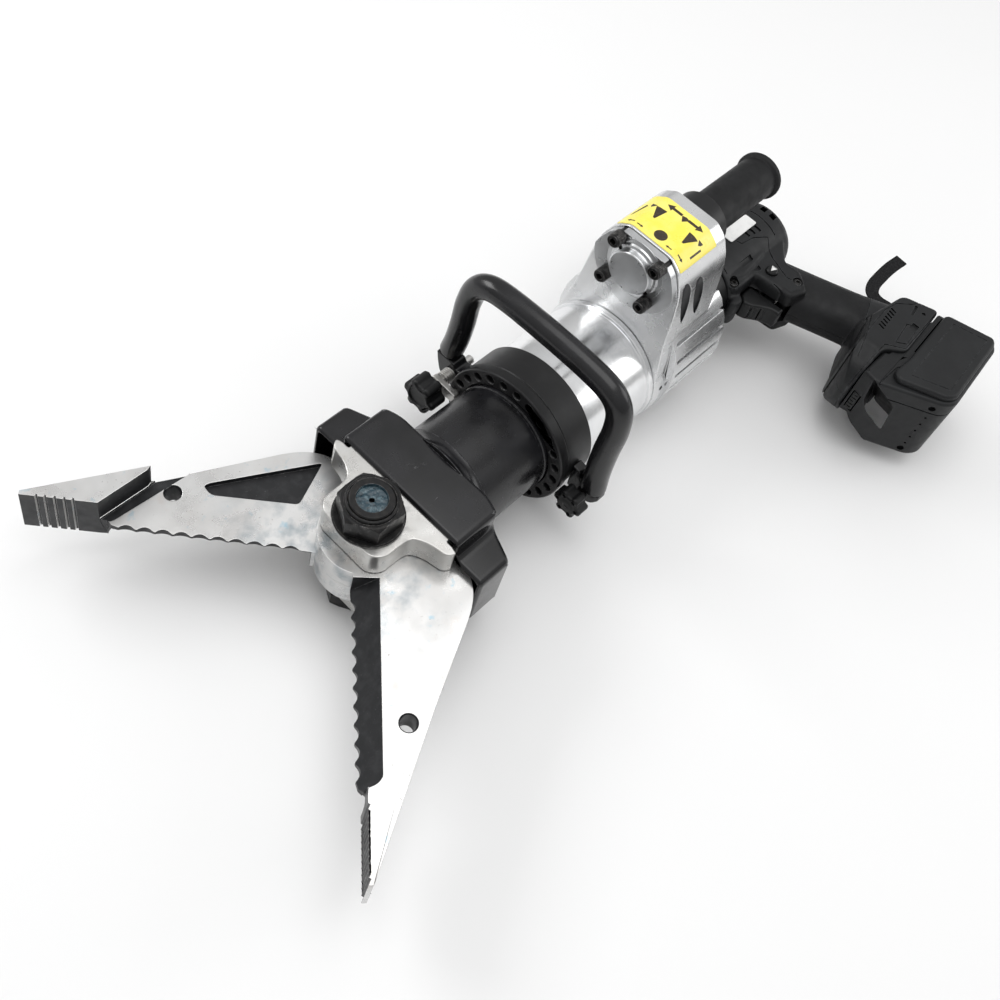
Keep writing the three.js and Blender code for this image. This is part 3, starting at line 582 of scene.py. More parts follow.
def blued_steel():
    made = Finish("blued_steel", (0.014, 0.0145, 0.016), 0.4, 0.2, specular=0.35)
    made.tint((0.04, 0.04, 0.043), 7, 0.45, 0.8, detail=5, amount=0.7)
    made.tint(0.25, 1.2, 0.68, 0.78, amount=0.4, seed=12)
    made.rough(9, 0.12)
    made.grain(0.8, 0.02)
    made.worn_edges(0.4, 0.5, 0.6)
    return made.done()


def satin_steel():
    made = Finish("satin_steel", (0.57, 0.565, 0.55), 0.31, 0.9)
    made.tint((0.42, 0.4, 0.37), 22, 0.4, 0.75, detail=5, amount=0.6)
    made.tint((0.2, 0.16, 0.12), 2.2, 0.68, 0.78, amount=0.5, seed=17)
    # Darker, patchy grey on the yoke's top round the nut, fading out just past the washer's rim.
    darker_round_nut = made.near((0, 0, 38), 26, 7)
    made.tint(0.2, 5, 0.5, 0.66, detail=5, amount=0.5, seed=22, where=darker_round_nut)
    made.rough(10, 0.08)
    made.grain(0.9, 0.012)
    made.grain(6, 0.008, seed=7)
    return made.done()


def oxide_steel():
    made = Finish("oxide_steel", (0.008, 0.008, 0.0086), 0.36, 0.55)
    made.tint((0.024, 0.022, 0.02), 4, 0.45, 0.75, detail=4, amount=0.8)
    made.rough(4, 0.12)
    made.grain(0.6, 0.008)
    made.worn_edges((0.3, 0.29, 0.28), 0.5, 0.8)
    return made.done()


def blue_grease():
    made = Finish(
        "blue_grease", (0.018, 0.045, 0.062), 0.35, 0.0, coat=0.3, coat_roughness=0.25, specular=0.4)
    made.tint((0.14, 0.21, 0.24), 3.6, 0.5, 0.7, detail=5, amount=0.8)
    made.tint((0.006, 0.012, 0.016), 2.4, 0.55, 0.7, detail=4, amount=0.9, seed=5)
    made.rough(3, 0.15)
    made.grain(2.2, 0.5, detail=4)
    return made.done()


def gloss_black(name="gloss_black", roughness=0.2, scuffs=1.0, wear=0.45):
    """Painted or hard-anodised black, with rub marks and light scuffs."""
    made = Finish(name, (0.005, 0.005, 0.0056), roughness, 0.0, coat=0.12, coat_roughness=0.1, specular=0.4)
    cloudy = made.tint((0.011, 0.011, 0.0135), 30, 0.4, 0.7, detail=5, amount=0.8)
    made.add_roughness(cloudy, 0.12)
    if scuffs:
        area = made.between(made.noise(34, 2, seed=15), 0.52, 0.64)
        marks = made.tint(
            (0.13, 0.13, 0.135), 3.2, 0.66, 0.76, detail=6, stretch=(0.5, 1.6, 1), seed=6,
            amount=0.5 * scuffs, where=area)
        made.add_roughness(marks, 0.3)
        lines = made.tint(
            0.2, 1.1, 0.72, 0.78, detail=2, stretch=(0.08, 1, 1), seed=14, amount=0.3 * scuffs,
            where=area)
        made.add_roughness(lines, 0.2)
    made.rough(14, 0.05)
    made.grain(5, 0.005)
    if wear:
        made.worn_edges((0.2, 0.2, 0.21), 0.9, wear)
    return made.done()


def satin_black():
    made = Finish("satin_black", (0.007, 0.007, 0.0076), 0.38, 0.0, specular=0.35)
    made.tint((0.014, 0.014, 0.015), 18, 0.4, 0.7, amount=0.8)
    made.rough(12, 0.07)
    made.grain(0.5, 0.006, stretch=(1, 0.1, 0.1))
    made.worn_edges(0.2, 0.6, 0.5)
    return made.done()


def turned_aluminium():
    """Bright lathe-turned metal with fine rings round the cylinder's axis."""
    made = Finish("turned_aluminium", (0.9, 0.905, 0.91), 0.2, 0.95)
    made.tint((0.7, 0.71, 0.73), 30, 0.4, 0.7, amount=0.6)
    made.rough(3, 0.06, stretch=(1, 0.02, 0.02))
    made.grain(0.45, 0.0035, stretch=(1, 0.01, 0.01), detail=1)
    made.grain(12, 0.003, seed=8)
    return made.done()


def milled_aluminium():
    made = Finish("milled_aluminium", (0.78, 0.785, 0.79), 0.26, 0.9)
    made.tint((0.62, 0.63, 0.64), 30, 0.42, 0.75, detail=3, amount=0.4)
    made.tint((0.42, 0.4, 0.37), 3, 0.72, 0.84, amount=0.2, seed=13)
    made.rough(12, 0.04)
    made.grain(0.6, 0.0018, stretch=(1, 0.15, 0.3))
    made.grain(9, 0.005, seed=8)
    return made.done()


def plate_aluminium():
    """The valve cover: turned across, with a fine circular grain."""
    made = Finish("plate_aluminium", (0.62, 0.63, 0.64), 0.3, 0.92)
    centre = ORIGIN + Vector((0, 0, VALVE_Z)) * MM
    flat = made.node("ShaderNodeVectorMath", {0: made.spot, 1: (0, 1, 1)}, operation="MULTIPLY").outputs[0]
    values = {0: flat, 1: (0, centre.y, centre.z)}
    gap = made.node("ShaderNodeVectorMath", values, operation="DISTANCE").outputs["Value"]
    turns = made.node("ShaderNodeTexNoise", {"W": gap, "Scale": 1900.0, "Detail": 2.0}, noise_dimensions="1D")
    made.raise_by(turns.outputs[0], 0.012)
    made.tint(0.5, 14, 0.4, 0.7, amount=0.5)
    made.rough(10, 0.06)
    return made.done()


def moulded_plastic(name="moulded_plastic", colour=(0.0085, 0.009, 0.0098), roughness=0.5, grain=0.02):
    """Glass-filled nylon with a spark-eroded grain."""
    made = Finish(name, colour, roughness, 0.0, specular=0.3)
    light = tuple(c * 1.55 for c in colour)
    made.tint(light, 24, 0.4, 0.7, detail=4, amount=0.8)
    made.tint((0.05, 0.05, 0.053), 1.2, 0.68, 0.8, amount=0.25, seed=19)
    made.rough(6, 0.07)
    made.grain(0.55, grain)
    made.worn_edges((0.05, 0.052, 0.055), 0.9, 0.9)
    return made.done()


def soft_rubber(name="soft_rubber", colour=(0.0085, 0.0088, 0.0092)):
    made = Finish(name, colour, 0.55, 0.0, specular=0.25)
    made.tint(tuple(c * 1.8 for c in colour), 16, 0.4, 0.72, detail=5, amount=0.8)
    made.tint(0.06, 2.5, 0.68, 0.82, amount=0.25, seed=9)
    made.rough(8, 0.1)
    made.grain(0.9, 0.03)
    return made.done()


def label_yellow():
    made = Finish("label_yellow", (0.95, 0.8, 0.09), 0.32, 0.0, coat=0.3, coat_roughness=0.2)
    made.tint((0.95, 0.86, 0.3), 14, 0.4, 0.7, amount=0.5)
    made.tint((0.45, 0.4, 0.1), 1.6, 0.7, 0.8, amount=0.4, seed=3)
    made.rough(6, 0.08)
    made.grain(3, 0.02)
    return made.done()


def label_ink():
    made = Finish("label_ink", (0.03, 0.02, 0.012), 0.4)
    made.tint((0.09, 0.06, 0.02), 2, 0.5, 0.75, amount=0.7)
    made.rough(4, 0.08)
    return made.done()


def pale_plate():
    made = Finish("pale_plate", (0.78, 0.78, 0.77), 0.35)
    made.tint(0.6, 8, 0.45, 0.7, amount=0.5)
    made.rough(5, 0.08)
    made.grain(1.5, 0.01)
    return made.done()


def woven_webbing():
    """Black woven tape: ribs along its length, crossed by the weft."""
    made = Finish("woven_webbing", (0.007, 0.007, 0.0076), 0.85, specular=0.2)
    made.tint((0.02, 0.02, 0.021), 1.2, 0.45, 0.65, amount=0.9)
    made.rough(2, 0.06)
    made.grain(0.55, 0.12, stretch=(0.6, 0.6, 1.6))
    return made.done()


def winding_copper():
    made = Finish("winding_copper", (0.72, 0.32, 0.15), 0.34, 0.9)
    made.tint((0.4, 0.16, 0.08), 6, 0.4, 0.7, amount=0.7)
    made.grain(0.5, 0.03, stretch=(1, 0.1, 0.1))
    return made.done()


def knob_white():
    made = Finish("knob_white", (0.75, 0.74, 0.7), 0.4)
    made.tint((0.5, 0.48, 0.44), 3, 0.45, 0.7, amount=0.6)
    made.grain(0.8, 0.02)
    return made.done()


def studio_floor():
    made = Finish("studio_floor", 0.86, 0.6)
    made.tint(0.84, 400, 0.4, 0.7, amount=0.5)
    return made.done()


STEEL = ground_steel()
BLUED = blued_steel()
SATIN = satin_steel()
OXIDE = oxide_steel()
GREASE = blue_grease()
COVER_BLACK = gloss_black()
BARREL_BLACK = gloss_black("barrel_black", 0.24, 0.7, 0.3)
BAIL_BLACK = gloss_black("bail_black", 0.22, 0.25, 0)
SLEEVE_BLACK = satin_black()
TURNED = turned_aluminium()
MILLED = milled_aluminium()
PLATE = plate_aluminium()
PLASTIC = moulded_plastic()
TRIM = moulded_plastic("trim_plastic", (0.005, 0.0052, 0.0056), 0.42, 0.012)
RUBBER = soft_rubber()
GRIP = soft_rubber("grip_rubber", (0.0068, 0.007, 0.0076))
YELLOW = label_yellow()
INK = label_ink()
PALE = pale_plate()
WEBBING = woven_webbing()
COPPER = winding_copper()
WHITE = knob_white()


# ---- camera, lights and floor ------------------------------------------------------------
CAMERA_PLACE = (303.861, 219.234, 672.937)
CAMERA_TURN = (36.6695, -9.9735, 134.0907)
CAMERA_SENSOR = 36
CAMERA_LENS = 44.84
CAMERA_SHIFT = (0.0346, -0.1236)
FLOOR_RADIUS = 6000
HORIZON_GLOW = 0.4
ZENITH_GLOW = 0.8


def camera():
    data = bpy.data.cameras.new("camera")
    data.sensor_width = CAMERA_SENSOR
    data.lens = CAMERA_LENS
    data.shift_x, data.shift_y = CAMERA_SHIFT
    data.clip_start = 0.01
    made = bpy.data.objects.new("camera", data)
    bpy.context.scene.collection.objects.link(made)
    made.rotation_mode = "XYZ"
    made.rotation_euler = [math.radians(a) for a in CAMERA_TURN]
    made.location = ORIGIN + Vector(CAMERA_PLACE) * MM
    bpy.context.scene.camera = made
    bpy.context.scene.view_settings.view_transform = "Standard"


def area(name, place_at, aim, size, power, size_y=None):
    data = bpy.data.lights.new(name, "AREA")
    data.shape = "RECTANGLE"
    data.size = size
    data.size_y = size_y or size
    data.energy = power
    made = bpy.data.objects.new(name, data)
    bpy.context.scene.collection.objects.link(made)
    made.location = place_at
    made.rotation_euler = (Vector(aim) - Vector(place_at)).to_track_quat("-Z", "Y").to_euler()


def studio():
    world = bpy.data.worlds.new("studio")
    world.use_nodes = True
    nodes, links = world.node_tree.nodes, world.node_tree.links
    split = nodes.new("ShaderNodeSeparateXYZ")
    links.new(nodes.new("ShaderNodeTexCoord").outputs["Generated"], split.inputs[0])
    glow = nodes.new("ShaderNodeMapRange")
    links.new(split.outputs["Z"], glow.inputs["Value"])
    glow.inputs["To Min"].default_value = HORIZON_GLOW
    glow.inputs["To Max"].default_value = ZENITH_GLOW
    links.new(glow.outputs[0], nodes["Background"].inputs["Strength"])
    nodes["Background"].inputs["Color"].default_value = (1, 1, 1, 1)
    bpy.context.scene.world = world
    area("overhead", (0.0, 0.1, 1.6), (0, 0, 0), 1.3, 9.5)
    area("window", (0.5, -1.3, 1.0), (0, 0, 0.05), 0.9, 9, 0.5)
    area("fill", (-1.2, 0.9, 0.7), (-0.1, 0, 0.05), 0.8, 4)
    floor = prism(circle(0, 0, FLOOR_RADIUS, 96), -40, 0, studio_floor())
    floor.name = "floor"
    floor.data.transform(Matrix.Scale(MM, 4))


camera()
studio()


# ---- blades ------------------------------------------------------------------------------
CUT_START = (36, -7.0)
CUT_END = (145, -4.7)
SCALLOPS = 10
SCALLOP_DEPTH = 2.4
GRIP_START_X = 157
GRIP_GROOVES = (171, 176, 181.5, 187, 192)
SHEAR_GAP = 0.15


def cutting_edge():
    """Shallow round bites with a narrow land between them."""
    points = []
    steps = 10
    land = 0.14
    for i in range(SCALLOPS * steps):
        part = (i % steps) / steps
        bite = 0
        if land < part:
            bite = SCALLOP_DEPTH * math.sin(math.pi * (part - land) / (1 - land)) ** 0.8
        t = i / (SCALLOPS * steps)
        points.append((lerp(CUT_START[0], CUT_END[0], t), lerp(CUT_START[1], CUT_END[1], t) + bite))
    return points + [CUT_END, (149.5, -3.4), (153, 0.4)]


def grip_teeth(fine):
    """The gripping face: five square grooves on one blade, slanted fine teeth on the other."""
    if fine:
        teeth = [GRIP_START_X + 4 + 3.4 * i for i in range(12)]
        return [p for x in teeth for p in ((x, SHEAR_GAP), (x + 0.5, 1.3), (x + 3.2, SHEAR_GAP))]
    return [
        p for x in GRIP_GROOVES
        for p in ((x - 0.9, SHEAR_GAP), (x - 0.55, 1.5), (x + 0.55, 1.5), (x + 0.9, SHEAR_GAP))]


def blade_outline(fine):
    outer = rounded([
        (TIP_X + 3, -2), (TIP_X - 0.6, 2.8, 1.5), (109.8, 37.8, 6), (55.3, 60.1, 8), (46, 63, 4),
        (36.9, 64.3, 4), (27, 63, 4), (17, 58.5, 4), (6, 52, 3), (0, 40)], 0)[1:-1]
    heel = arc(*ARM_PIN_CLOSED, 12, 80, 195, 18)
    hub = arc(0, 0, 28.5, 148, 345, 48)
    face = [(GRIP_START_X, SHEAR_GAP)] + grip_teeth(fine) + [(TIP_X - 0.4, SHEAR_GAP)]
    return face + outer + heel + hub + cutting_edge()


def lug_step():
    """The arm is thinned where the link sweeps over it."""
    around = arc(*ARM_PIN_CLOSED, 12.5, 65, -38, 14)
    far = []
    for direction, side in ((232, 322), (155, 65)):
        a, b = math.radians(direction), math.radians(side)
        u = ARM_PIN_CLOSED[0] + 60 * math.cos(a) + 11 * math.cos(b)
        v = ARM_PIN_CLOSED[1] + 60 * math.sin(a) + 11 * math.sin(b)
        far.append((u, v))
    return prism(around + far, 8.8, 20, STEEL)


def blade(name, body, side):
    """The right-hand blade as it lies when closed, turned over for the left and then opened."""
    fine = side > 0
    plate = prism(blade_outline(fine), SHEAR_GAP, BLADE_THICKNESS, STEEL)
    tip_outline = [(GRIP_START_X, SHEAR_GAP)] + grip_teeth(fine) + [(TIP_X - 0.4, SHEAR_GAP)]
    tip_outline += [(TIP_X - 0.6, 2.8), (131.4, 29.6), (133, 26)]
    tip = prism(tip_outline, -BLADE_THICKNESS, SHEAR_GAP + 0.02, STEEL)
    steel = join(plate, tip)
    top = BLADE_THICKNESS + 0.5
    slope = prism([(8.9, top), (-30, top), (-30, -25)], 30, 154, BLUED, "x")
    reach = prism(rounded([(28, -32), (153, -32, 0), (153, 9.5, 13), (28, 9.5, 0)], 0, 12), -30, 22, BLUED)
    common(slope, reach)
    pocket = rounded([(99.9, 30.4, 5), (94.9, 24.6, 5), (40.7, 24.8, 3), (29, 57, 3), (97, 32.8, 4)], 3)
    channel = [(150.2, -1), (157.6, -1), (131.5, 27.6), (120, 42), (109.8, 37.8), (148.4, 0)]
    hole = rod(5, -20, 20, BLUED, "z", centre=(117.5, 23), steps=48)
    sink = turned([
        (0, BLADE_THICKNESS - 0.7), (5, BLADE_THICKNESS - 0.7), (6, BLADE_THICKNESS + 0.3),
        (0, BLADE_THICKNESS + 0.3)], BLUED, "z", centre=(117.5, 23), steps=48)
    low_sink = turned([(0, 1), (5, 1), (6, -0.1), (0, -0.1)], BLUED, "z", centre=(117.5, 23), steps=48)
    cut(
        steel, slope, prism(pocket, -1, 4.2, BLUED), prism(channel, -1, 2.2, BLUED), lug_step(),
        rod(BOLT_RADIUS + 0.3, -20, 20, STEEL, "z", steps=ROUND), hole, sink, low_sink,
        rod(5.3, -20, 20, STEEL, "z", centre=ARM_PIN_CLOSED))
    paint(steel, BLUED, lambda c, n: c.x > 152 and abs(c.y - 0.8) < 1.6 and n.y < -0.3)
    paint(steel, BLUED, lambda c, n: n.x < -0.5 and n.y < -0.4 and c.x > 130)
    paint(steel, BLUED, lambda c, n: 34 < c.x < 154 and c.y < 0.8 and abs(n.z) < 0.3)
    soften(steel, 0.35, 2, 25)
    common(steel, block(-60, TIP_X - 1, -40, 80, -BLADE_THICKNESS - 0.5, BLADE_THICKNESS + 0.5, STEEL))
    if side < 0:
        turned_by(steel, 180, "X")
    turned_by(steel, side * OPEN_ANGLE, "Z")
    place(steel, name, body, body=body)


# ---- head --------------------------------------------------------------------------------
def yoke():
    side = [
        (18.5, 20, 7), (11.5, 26.5, 5), (-1, 26.5, 8), (-9, 27.5, 8), (-14, 36, 6), (-16.5, 49, 7),
        (-22, 52.3, 3), (-23.4, 47, 0), (-23.4, 42.5, 0), (-50, 42.5, 3), (-56.8, 30, 3)]
    outline = rounded(side + [(u, -v, r) for u, v, r in side[::-1]], 5)
    solid_body = prism(outline, -EAR_OUTER_Z, EAR_OUTER_Z, SATIN)
    join(solid_body, rod(33, -84, -56, SATIN, steps=FINE, chamfer=1))
    inner = EAR_INNER_Z
    blade_space = rounded([(-54.5, -inner, 3), (40, -inner, 0), (40, inner, 0), (-54.5, inner, 3)], 3)
    space = prism(blade_space, -80, 80, OXIDE, "y")
    cut(
        solid_body, space, block(-62, 0, -27, 27, -inner, inner, OXIDE),
        rod(28.5, -90, -55, OXIDE, steps=ROUND), rod(BOLT_RADIUS + 0.3, -60, 60, OXIDE, "z", steps=ROUND))
    soften(solid_body, 0.9, 3, 40)
    place(solid_body, "yoke", "yoke_fork")


def shroud_shape(less):
    width, wing, top, low = SHROUD_WIDTH - less, WING_WIDTH - less, SHROUD_TOP_Z - less, WING_Z - less
    quarter = [(width, low, 6), (width, top, 5)]
    section = [
        *quarter, (-width, top, 5), (-width, low, 6), (-wing, low, 5), (-wing, -low, 5), (-width, -low, 6),
        (-width, -top, 5), (width, -top, 5), (width, -low, 6), (wing, -low, 5), (wing, low, 5)]
    rear = -63.6 + 2 * less
    front = 3 if less else -25
    outline = [
        (front, wing + 1, 0), (rear + 14, wing + 1, 4), (rear + 4, width, 8), (rear, width - 12, 8),
        (rear, 12 - width, 8), (rear + 4, -width, 8), (rear + 14, -wing - 1, 4), (front, -wing - 1, 0)]
    made = prism(rounded(section, 5, 9), -90, 10, COVER_BLACK, "x")
    return common(made, prism(rounded(outline, 5, 9), -60, 60, COVER_BLACK))


def shroud():
    shell = shroud_shape(0)
    soften(shell, 2.6, 5, 40)
    cut(shell, shroud_shape(2.6), rod(BARREL_RADIUS + 0.3, -90, -50, COVER_BLACK, steps=FINE))
    bore = BARREL_RADIUS + 0.3
    angles = [math.pi / 2 * k / 12 for k in range(1, 13)]
    flare = [(39.3 + 5.4 * (1 - math.cos(a)), -72.3 + 10.5 * math.sin(a)) for a in angles]
    neck = [(bore, -72.5), (39.6, -72.5), *flare, (44.9, -60.9), (bore, -60.9), (bore, -72.5)]
    join(shell, turned(neck, COVER_BLACK))
    soften(shell, 0.5, 2, 50)
    place(shell, "head_cover", "head_shroud", 40)


def chamfered_hexagon(low, high):
    """A hexagon head whose upper corners are turned off, as on a real nut."""
    radius = NUT_ACROSS_FLATS / math.sqrt(3)
    flat = NUT_ACROSS_FLATS / 2
    made = prism(hexagon(NUT_ACROSS_FLATS), low, high, OXIDE)
    drop = (radius - flat) * 0.62
    profile = [(0, low), (radius + 0.1, low), (radius + 0.1, high - drop), (flat + 0.2, high), (0, high)]
    return common(made, turned(profile, OXIDE, "z"))


def grease_film():
    """The uneven smear in the hollow of the pivot bolt's end."""
    smear = []
    for ring in range(13):
        row = []
        for u, v in circle(0, 0, lerp(1.9, 9.3, ring / 12), 64):
            lump = smooth_noise(Vector((u * 0.35, v * 0.35, 3.1)))
            lump += 0.5 * smooth_noise(Vector((u * 0.9, v * 0.9, 1)))
            row.append((u, v, NUT_TOP_Z - 1.1 + 0.75 * lump * (1 - (ring / 12) ** 6)))
        smear.append(row)
    below = [[(u, v, NUT_TOP_Z - 1.75) for u, v, _ in smear[i]] for i in (-1, 0)]
    return rings(smear + below, GREASE, closed=True)


def pivot():
    bore = BOLT_RADIUS + 0.3
    washer = turned([(bore, 0.3), (22, 0.3), (22.2, 1.6), (21.4, 2.3), (bore, 2.3), (bore, 0.3)], OXIDE, "z")
    shifted(washer, z=EAR_OUTER_Z)
    place(washer, "nut_washer", "pivot_washer")
    low = EAR_OUTER_Z + 2.6
    nut = chamfered_hexagon(low, NUT_TOP_Z - 2.5)
    collar = turned([
        (0, NUT_TOP_Z - 6), (16.6, NUT_TOP_Z - 6), (16.6, NUT_TOP_Z - 3.4), (16, NUT_TOP_Z - 2.9),
        (16, NUT_TOP_Z - 0.6), (15.5, NUT_TOP_Z), (0, NUT_TOP_Z)], OXIDE, "z")
    join(nut, collar)
    cut(nut, rod(bore, 30, 70, OXIDE, "z", steps=FINE))
    soften(nut, 0.35, 2, 28)
    place(nut, "shaft_nut", "pivot_nut")

    head_top = -EAR_OUTER_Z - 0.3
    bolt = rod(BOLT_RADIUS, head_top - 1, NUT_TOP_Z + 1.2, OXIDE, "z", steps=FINE, chamfer=0.8)
    join(bolt, turned_by(chamfered_hexagon(-head_top, -head_top + 12), 180, "X"))
    cut(
        bolt, rod(9.5, NUT_TOP_Z - 1.6, NUT_TOP_Z + 5, GREASE, "z", steps=FINE),
        rod(1.7, NUT_TOP_Z - 6, NUT_TOP_Z + 5, OXIDE, "z"))
    soften(bolt, 0.3, 2, 28)
    place(bolt, "pivot_shaft", "pivot_bolt")
    place(grease_film(), "shaft_grease", None, 60)


blade("right_blade", "blade_right", 1)
blade("left_blade", "blade_left", -1)
yoke()
shroud()
pivot()


# ---- cylinder and carry handle -----------------------------------------------------------
def cylinder():
    barrel = turned([
        (33.3, -58.3), (BARREL_RADIUS, -58.3), (BARREL_RADIUS, -124.6), (BARREL_RADIUS - 0.7, -125.2),
        (BARREL_RADIUS - 0.7, -126.6), (BARREL_RADIUS, -127.2), (BARREL_RADIUS, -222), (31, -222),
        (31, -84.5), (33.3, -84.5), (33.3, -58.3)], BARREL_BLACK)
    place(barrel, "barrel", "cylinder_barrel")
    inner = BARREL_RADIUS + 0.3
    ring = turned([
        (inner, -137), (RING_RADIUS - 0.6, -137), (RING_RADIUS, -136.4), (RING_RADIUS, -129.8),
        (RING_RADIUS - 0.8, -129), (inner + 0.6, -129), (inner, -129.5), (inner, -137)], SLEEVE_BLACK)
    holes = []
    for i in range(RING_HOLES):
        angle = 2 * math.pi * i / RING_HOLES
        centre = (RING_HOLE_CIRCLE * math.cos(angle), RING_HOLE_CIRCLE * math.sin(angle))
        drill = [(0, -136), (3.1, -136), (3.0, -129.7), (3.5, -129.2), (3.5, -125), (0, -125)]
        holes.append(turned(drill, SLEEVE_BLACK, centre=centre, steps=24))
    cut(ring, *holes)
    soften(ring, 0.25, 2, 35)
    place(ring, "hole_ring", "index_ring")
    sleeve = turned([
        (inner, -161.5), (SLEEVE_RADIUS - 0.8, -161.5), (SLEEVE_RADIUS, -160.7), (SLEEVE_RADIUS, -138.2),
        (SLEEVE_RADIUS - 0.6, -137.4), (inner, -137.4), (inner, -161.5)], SLEEVE_BLACK)
    place(sleeve, "turning_sleeve", "handle_collar", body="handle")
    lip = FRONT_RADIUS + 1.2
    front = turned([
        (inner, -162), (FRONT_RADIUS - 1.6, -162), (FRONT_RADIUS - 0.4, -162.5), (FRONT_RADIUS, -163.6),
        (FRONT_RADIUS, -224.6), (FRONT_RADIUS - 0.5, -225), (FRONT_RADIUS - 0.5, -226.1),
        (lip - 0.3, -226.3), (lip, -226.7), (lip, -230.3), (lip - 0.4, -230.7), (inner, -230.7),
        (inner, -162)], TURNED)
    place(front, "bright_cylinder", "front_cylinder")


def bail_path():
    w, c = BAIL_HALF_WIDTH, BAIL_CORNER

    def corner(side):
        turns = [math.radians(a) for a in (30, 60)]
        return [(BAIL_X, side * (w - c + c * math.cos(a)), BAIL_TOP_Z - c + c * math.sin(a)) for a in turns]

    left = [(BAIL_X, -w - 3, 12), (BAIL_X, -w - 1, 26), (BAIL_X, -w, 45), (BAIL_X, -w, BAIL_TOP_Z - c - 4)]
    right = [(BAIL_X, w + 3, 2), (BAIL_X, w + 1, 20), (BAIL_X, w, 42), (BAIL_X, w, BAIL_TOP_Z - c - 4)]
    top = [(BAIL_X, 5 + c - w, BAIL_TOP_Z), (BAIL_X, 0, BAIL_TOP_Z + 1), (BAIL_X, w - c - 5, BAIL_TOP_Z)]
    return spline(left + corner(-1) + top + corner(1)[::-1] + right[::-1], 14)


def bail():
    bar = sweep(bail_path(), circle(0, 0, BAIL_RADIUS, 48), BAIL_BLACK)
    soften(bar, 0.9, 3, 50)
    place(bar, "bail", "carry_handle", 50, body="handle")


def lug(name, node, outline, front_x, hole):
    made = prism(rounded(outline, 3), -150, front_x, BAIL_BLACK, "x", rim=1.0)
    cut(made, rod(3.8, -160, -130, BAIL_BLACK, centre=hole))
    soften(made, 0.4, 2, 35)
    place(made, name, node, body="handle")


def brackets():
    """The lugs on the sleeve that carry the bail's two feet and the two knobs."""
    left = [
        (-49.9, -11, 1), (-60, -13, 4), (-68, -8, 4), (-72, 2, 3), (-74, 9.8, 1.5), (-58, 9.8, 1.5),
        (-55, 6, 2), (-49.2, 8, 1)]
    right = [
        (49.9, -12, 1), (58, -15, 5), (70, -13, 5), (75, -4, 4), (74, 0.2, 1.5), (58, 0.2, 2), (56, 8, 2),
        (49.2, 9, 1)]
    lug("left_lug", "handle_bracket_left", left, -138, (PAWL_Y, 0))
    lug("right_lug", "handle_bracket_right", right, -142, (CLAMP_Y, CLAMP_Z))


def spring(rear_x, length, y, radius, turns, steps, sides):
    """A coil of round wire along X."""
    count = turns * steps
    wire = []
    for i in range(count + 1):
        a = 2 * math.pi * i / steps
        wire.append(Vector((rear_x + length * i / count, y + radius * math.cos(a), radius * math.sin(a))))
    return sweep(wire, circle(0, 0, 0.5, sides), SATIN)


def plunger():
    """The stem under the pull knob, with the arm that carries the pin for the ring's holes."""
    inner_y, outer_y = 4 - RING_HOLE_CIRCLE, PAWL_Y - 5
    arm = rounded([(inner_y, -4, 2), (inner_y, 4, 2), (outer_y, 5, 3), (outer_y, -5, 3)], 2)
    whole = join(
        rod(3.4, -158, -119.4, SATIN, centre=(PAWL_Y, 0), chamfer=0.5),
        prism(arm, -127.5, -123, SATIN, "x", rim=0.7),
        rod(2.5, -134, -125, SATIN, centre=(-RING_HOLE_CIRCLE, 0), chamfer=0.4),
        rod(4.6, -122.8, -119.4, WHITE, centre=(PAWL_Y, 0), chamfer=0.5),
        rod(3.3, -119.4, -109.2, SATIN, centre=(PAWL_Y, 0), chamfer=0.8))
    soften(whole, 0.25, 2, 40)
    place(whole, "plunger", "index_pawl", body="index_plunger")


def knobs():
    """The plunger's pull knob, the clamp's star knob, and the spring round the plunger's stem."""
    grip = prism(star(6, 13.5, 10.8), -119.2, -105, TRIM, "x", rim=2.4, low_rim=1.2)
    dish = turned([(0, -106.6), (7.4, -106.2), (8.4, -104), (0, -104)], TRIM, steps=ROUND)
    cut(grip, dish, rod(3.6, -122, -108.9, TRIM))
    soften(shifted(grip, y=PAWL_Y), 0.3, 2, 40)
    place(grip, "pull_knob", "index_knob", 45, body="index_plunger")
    clamp = prism(star(6, 11, 8.4), -135.5, -125, TRIM, "x", rim=1.8, low_rim=1)
    dents = [rod(1.5, -127, -120, TRIM, centre=(7.6, 0), steps=20) for _ in range(6)]
    cut(clamp, *[turned_by(dent, 60 * i, "X") for i, dent in enumerate(dents)])
    cap = turned([(0, -124.4), (4.6, -124.6), (6.2, -125.6), (6.4, -128), (0, -128)], TRIM, steps=ROUND)
    cut(cap, rod(2.2, -126, -120, OXIDE, steps=6))
    join(clamp, cap, rod(3.4, -154, -134, OXIDE, chamfer=0.4))
    soften(shifted(clamp, y=CLAMP_Y, z=CLAMP_Z), 0.3, 2, 40)
    place(clamp, "locking_knob", "clamp_knob", 45, body="clamp_knob")
    coil = spring(-137.2, 8.3, PAWL_Y, 4.85, 5, 26, 10)
    place(coil, "plunger_spring", "index_spring", 60, body="handle")


cylinder()
bail()
brackets()
plunger()
knobs()


# ---- pump housing ------------------------------------------------------------------------
LOBE_SIDE = [(17, 123.4, 3), (26, 117, 4), (33.5, 102, 8), (36.5, 80, 14), (38.5, 52, 14), (40, 27, 6)]
FIN_TIPS = [
    (26, 63), (38, 53), (46, 40), (50, 27), (51.5, 13), (50.5, -1), (47, -15), (41, -28), (32, -39),
    (20, -47), (7, -51)]


def both_sides(points):
    return points + [(-u, v, *rest) for u, v, *rest in points[::-1]]


def screw_places():
    return [(y * SCREW_OFFSET, VALVE_Z + z * SCREW_OFFSET) for y, z in ((-1, 1), (1, 1), (-1, -1), (1, -1))]


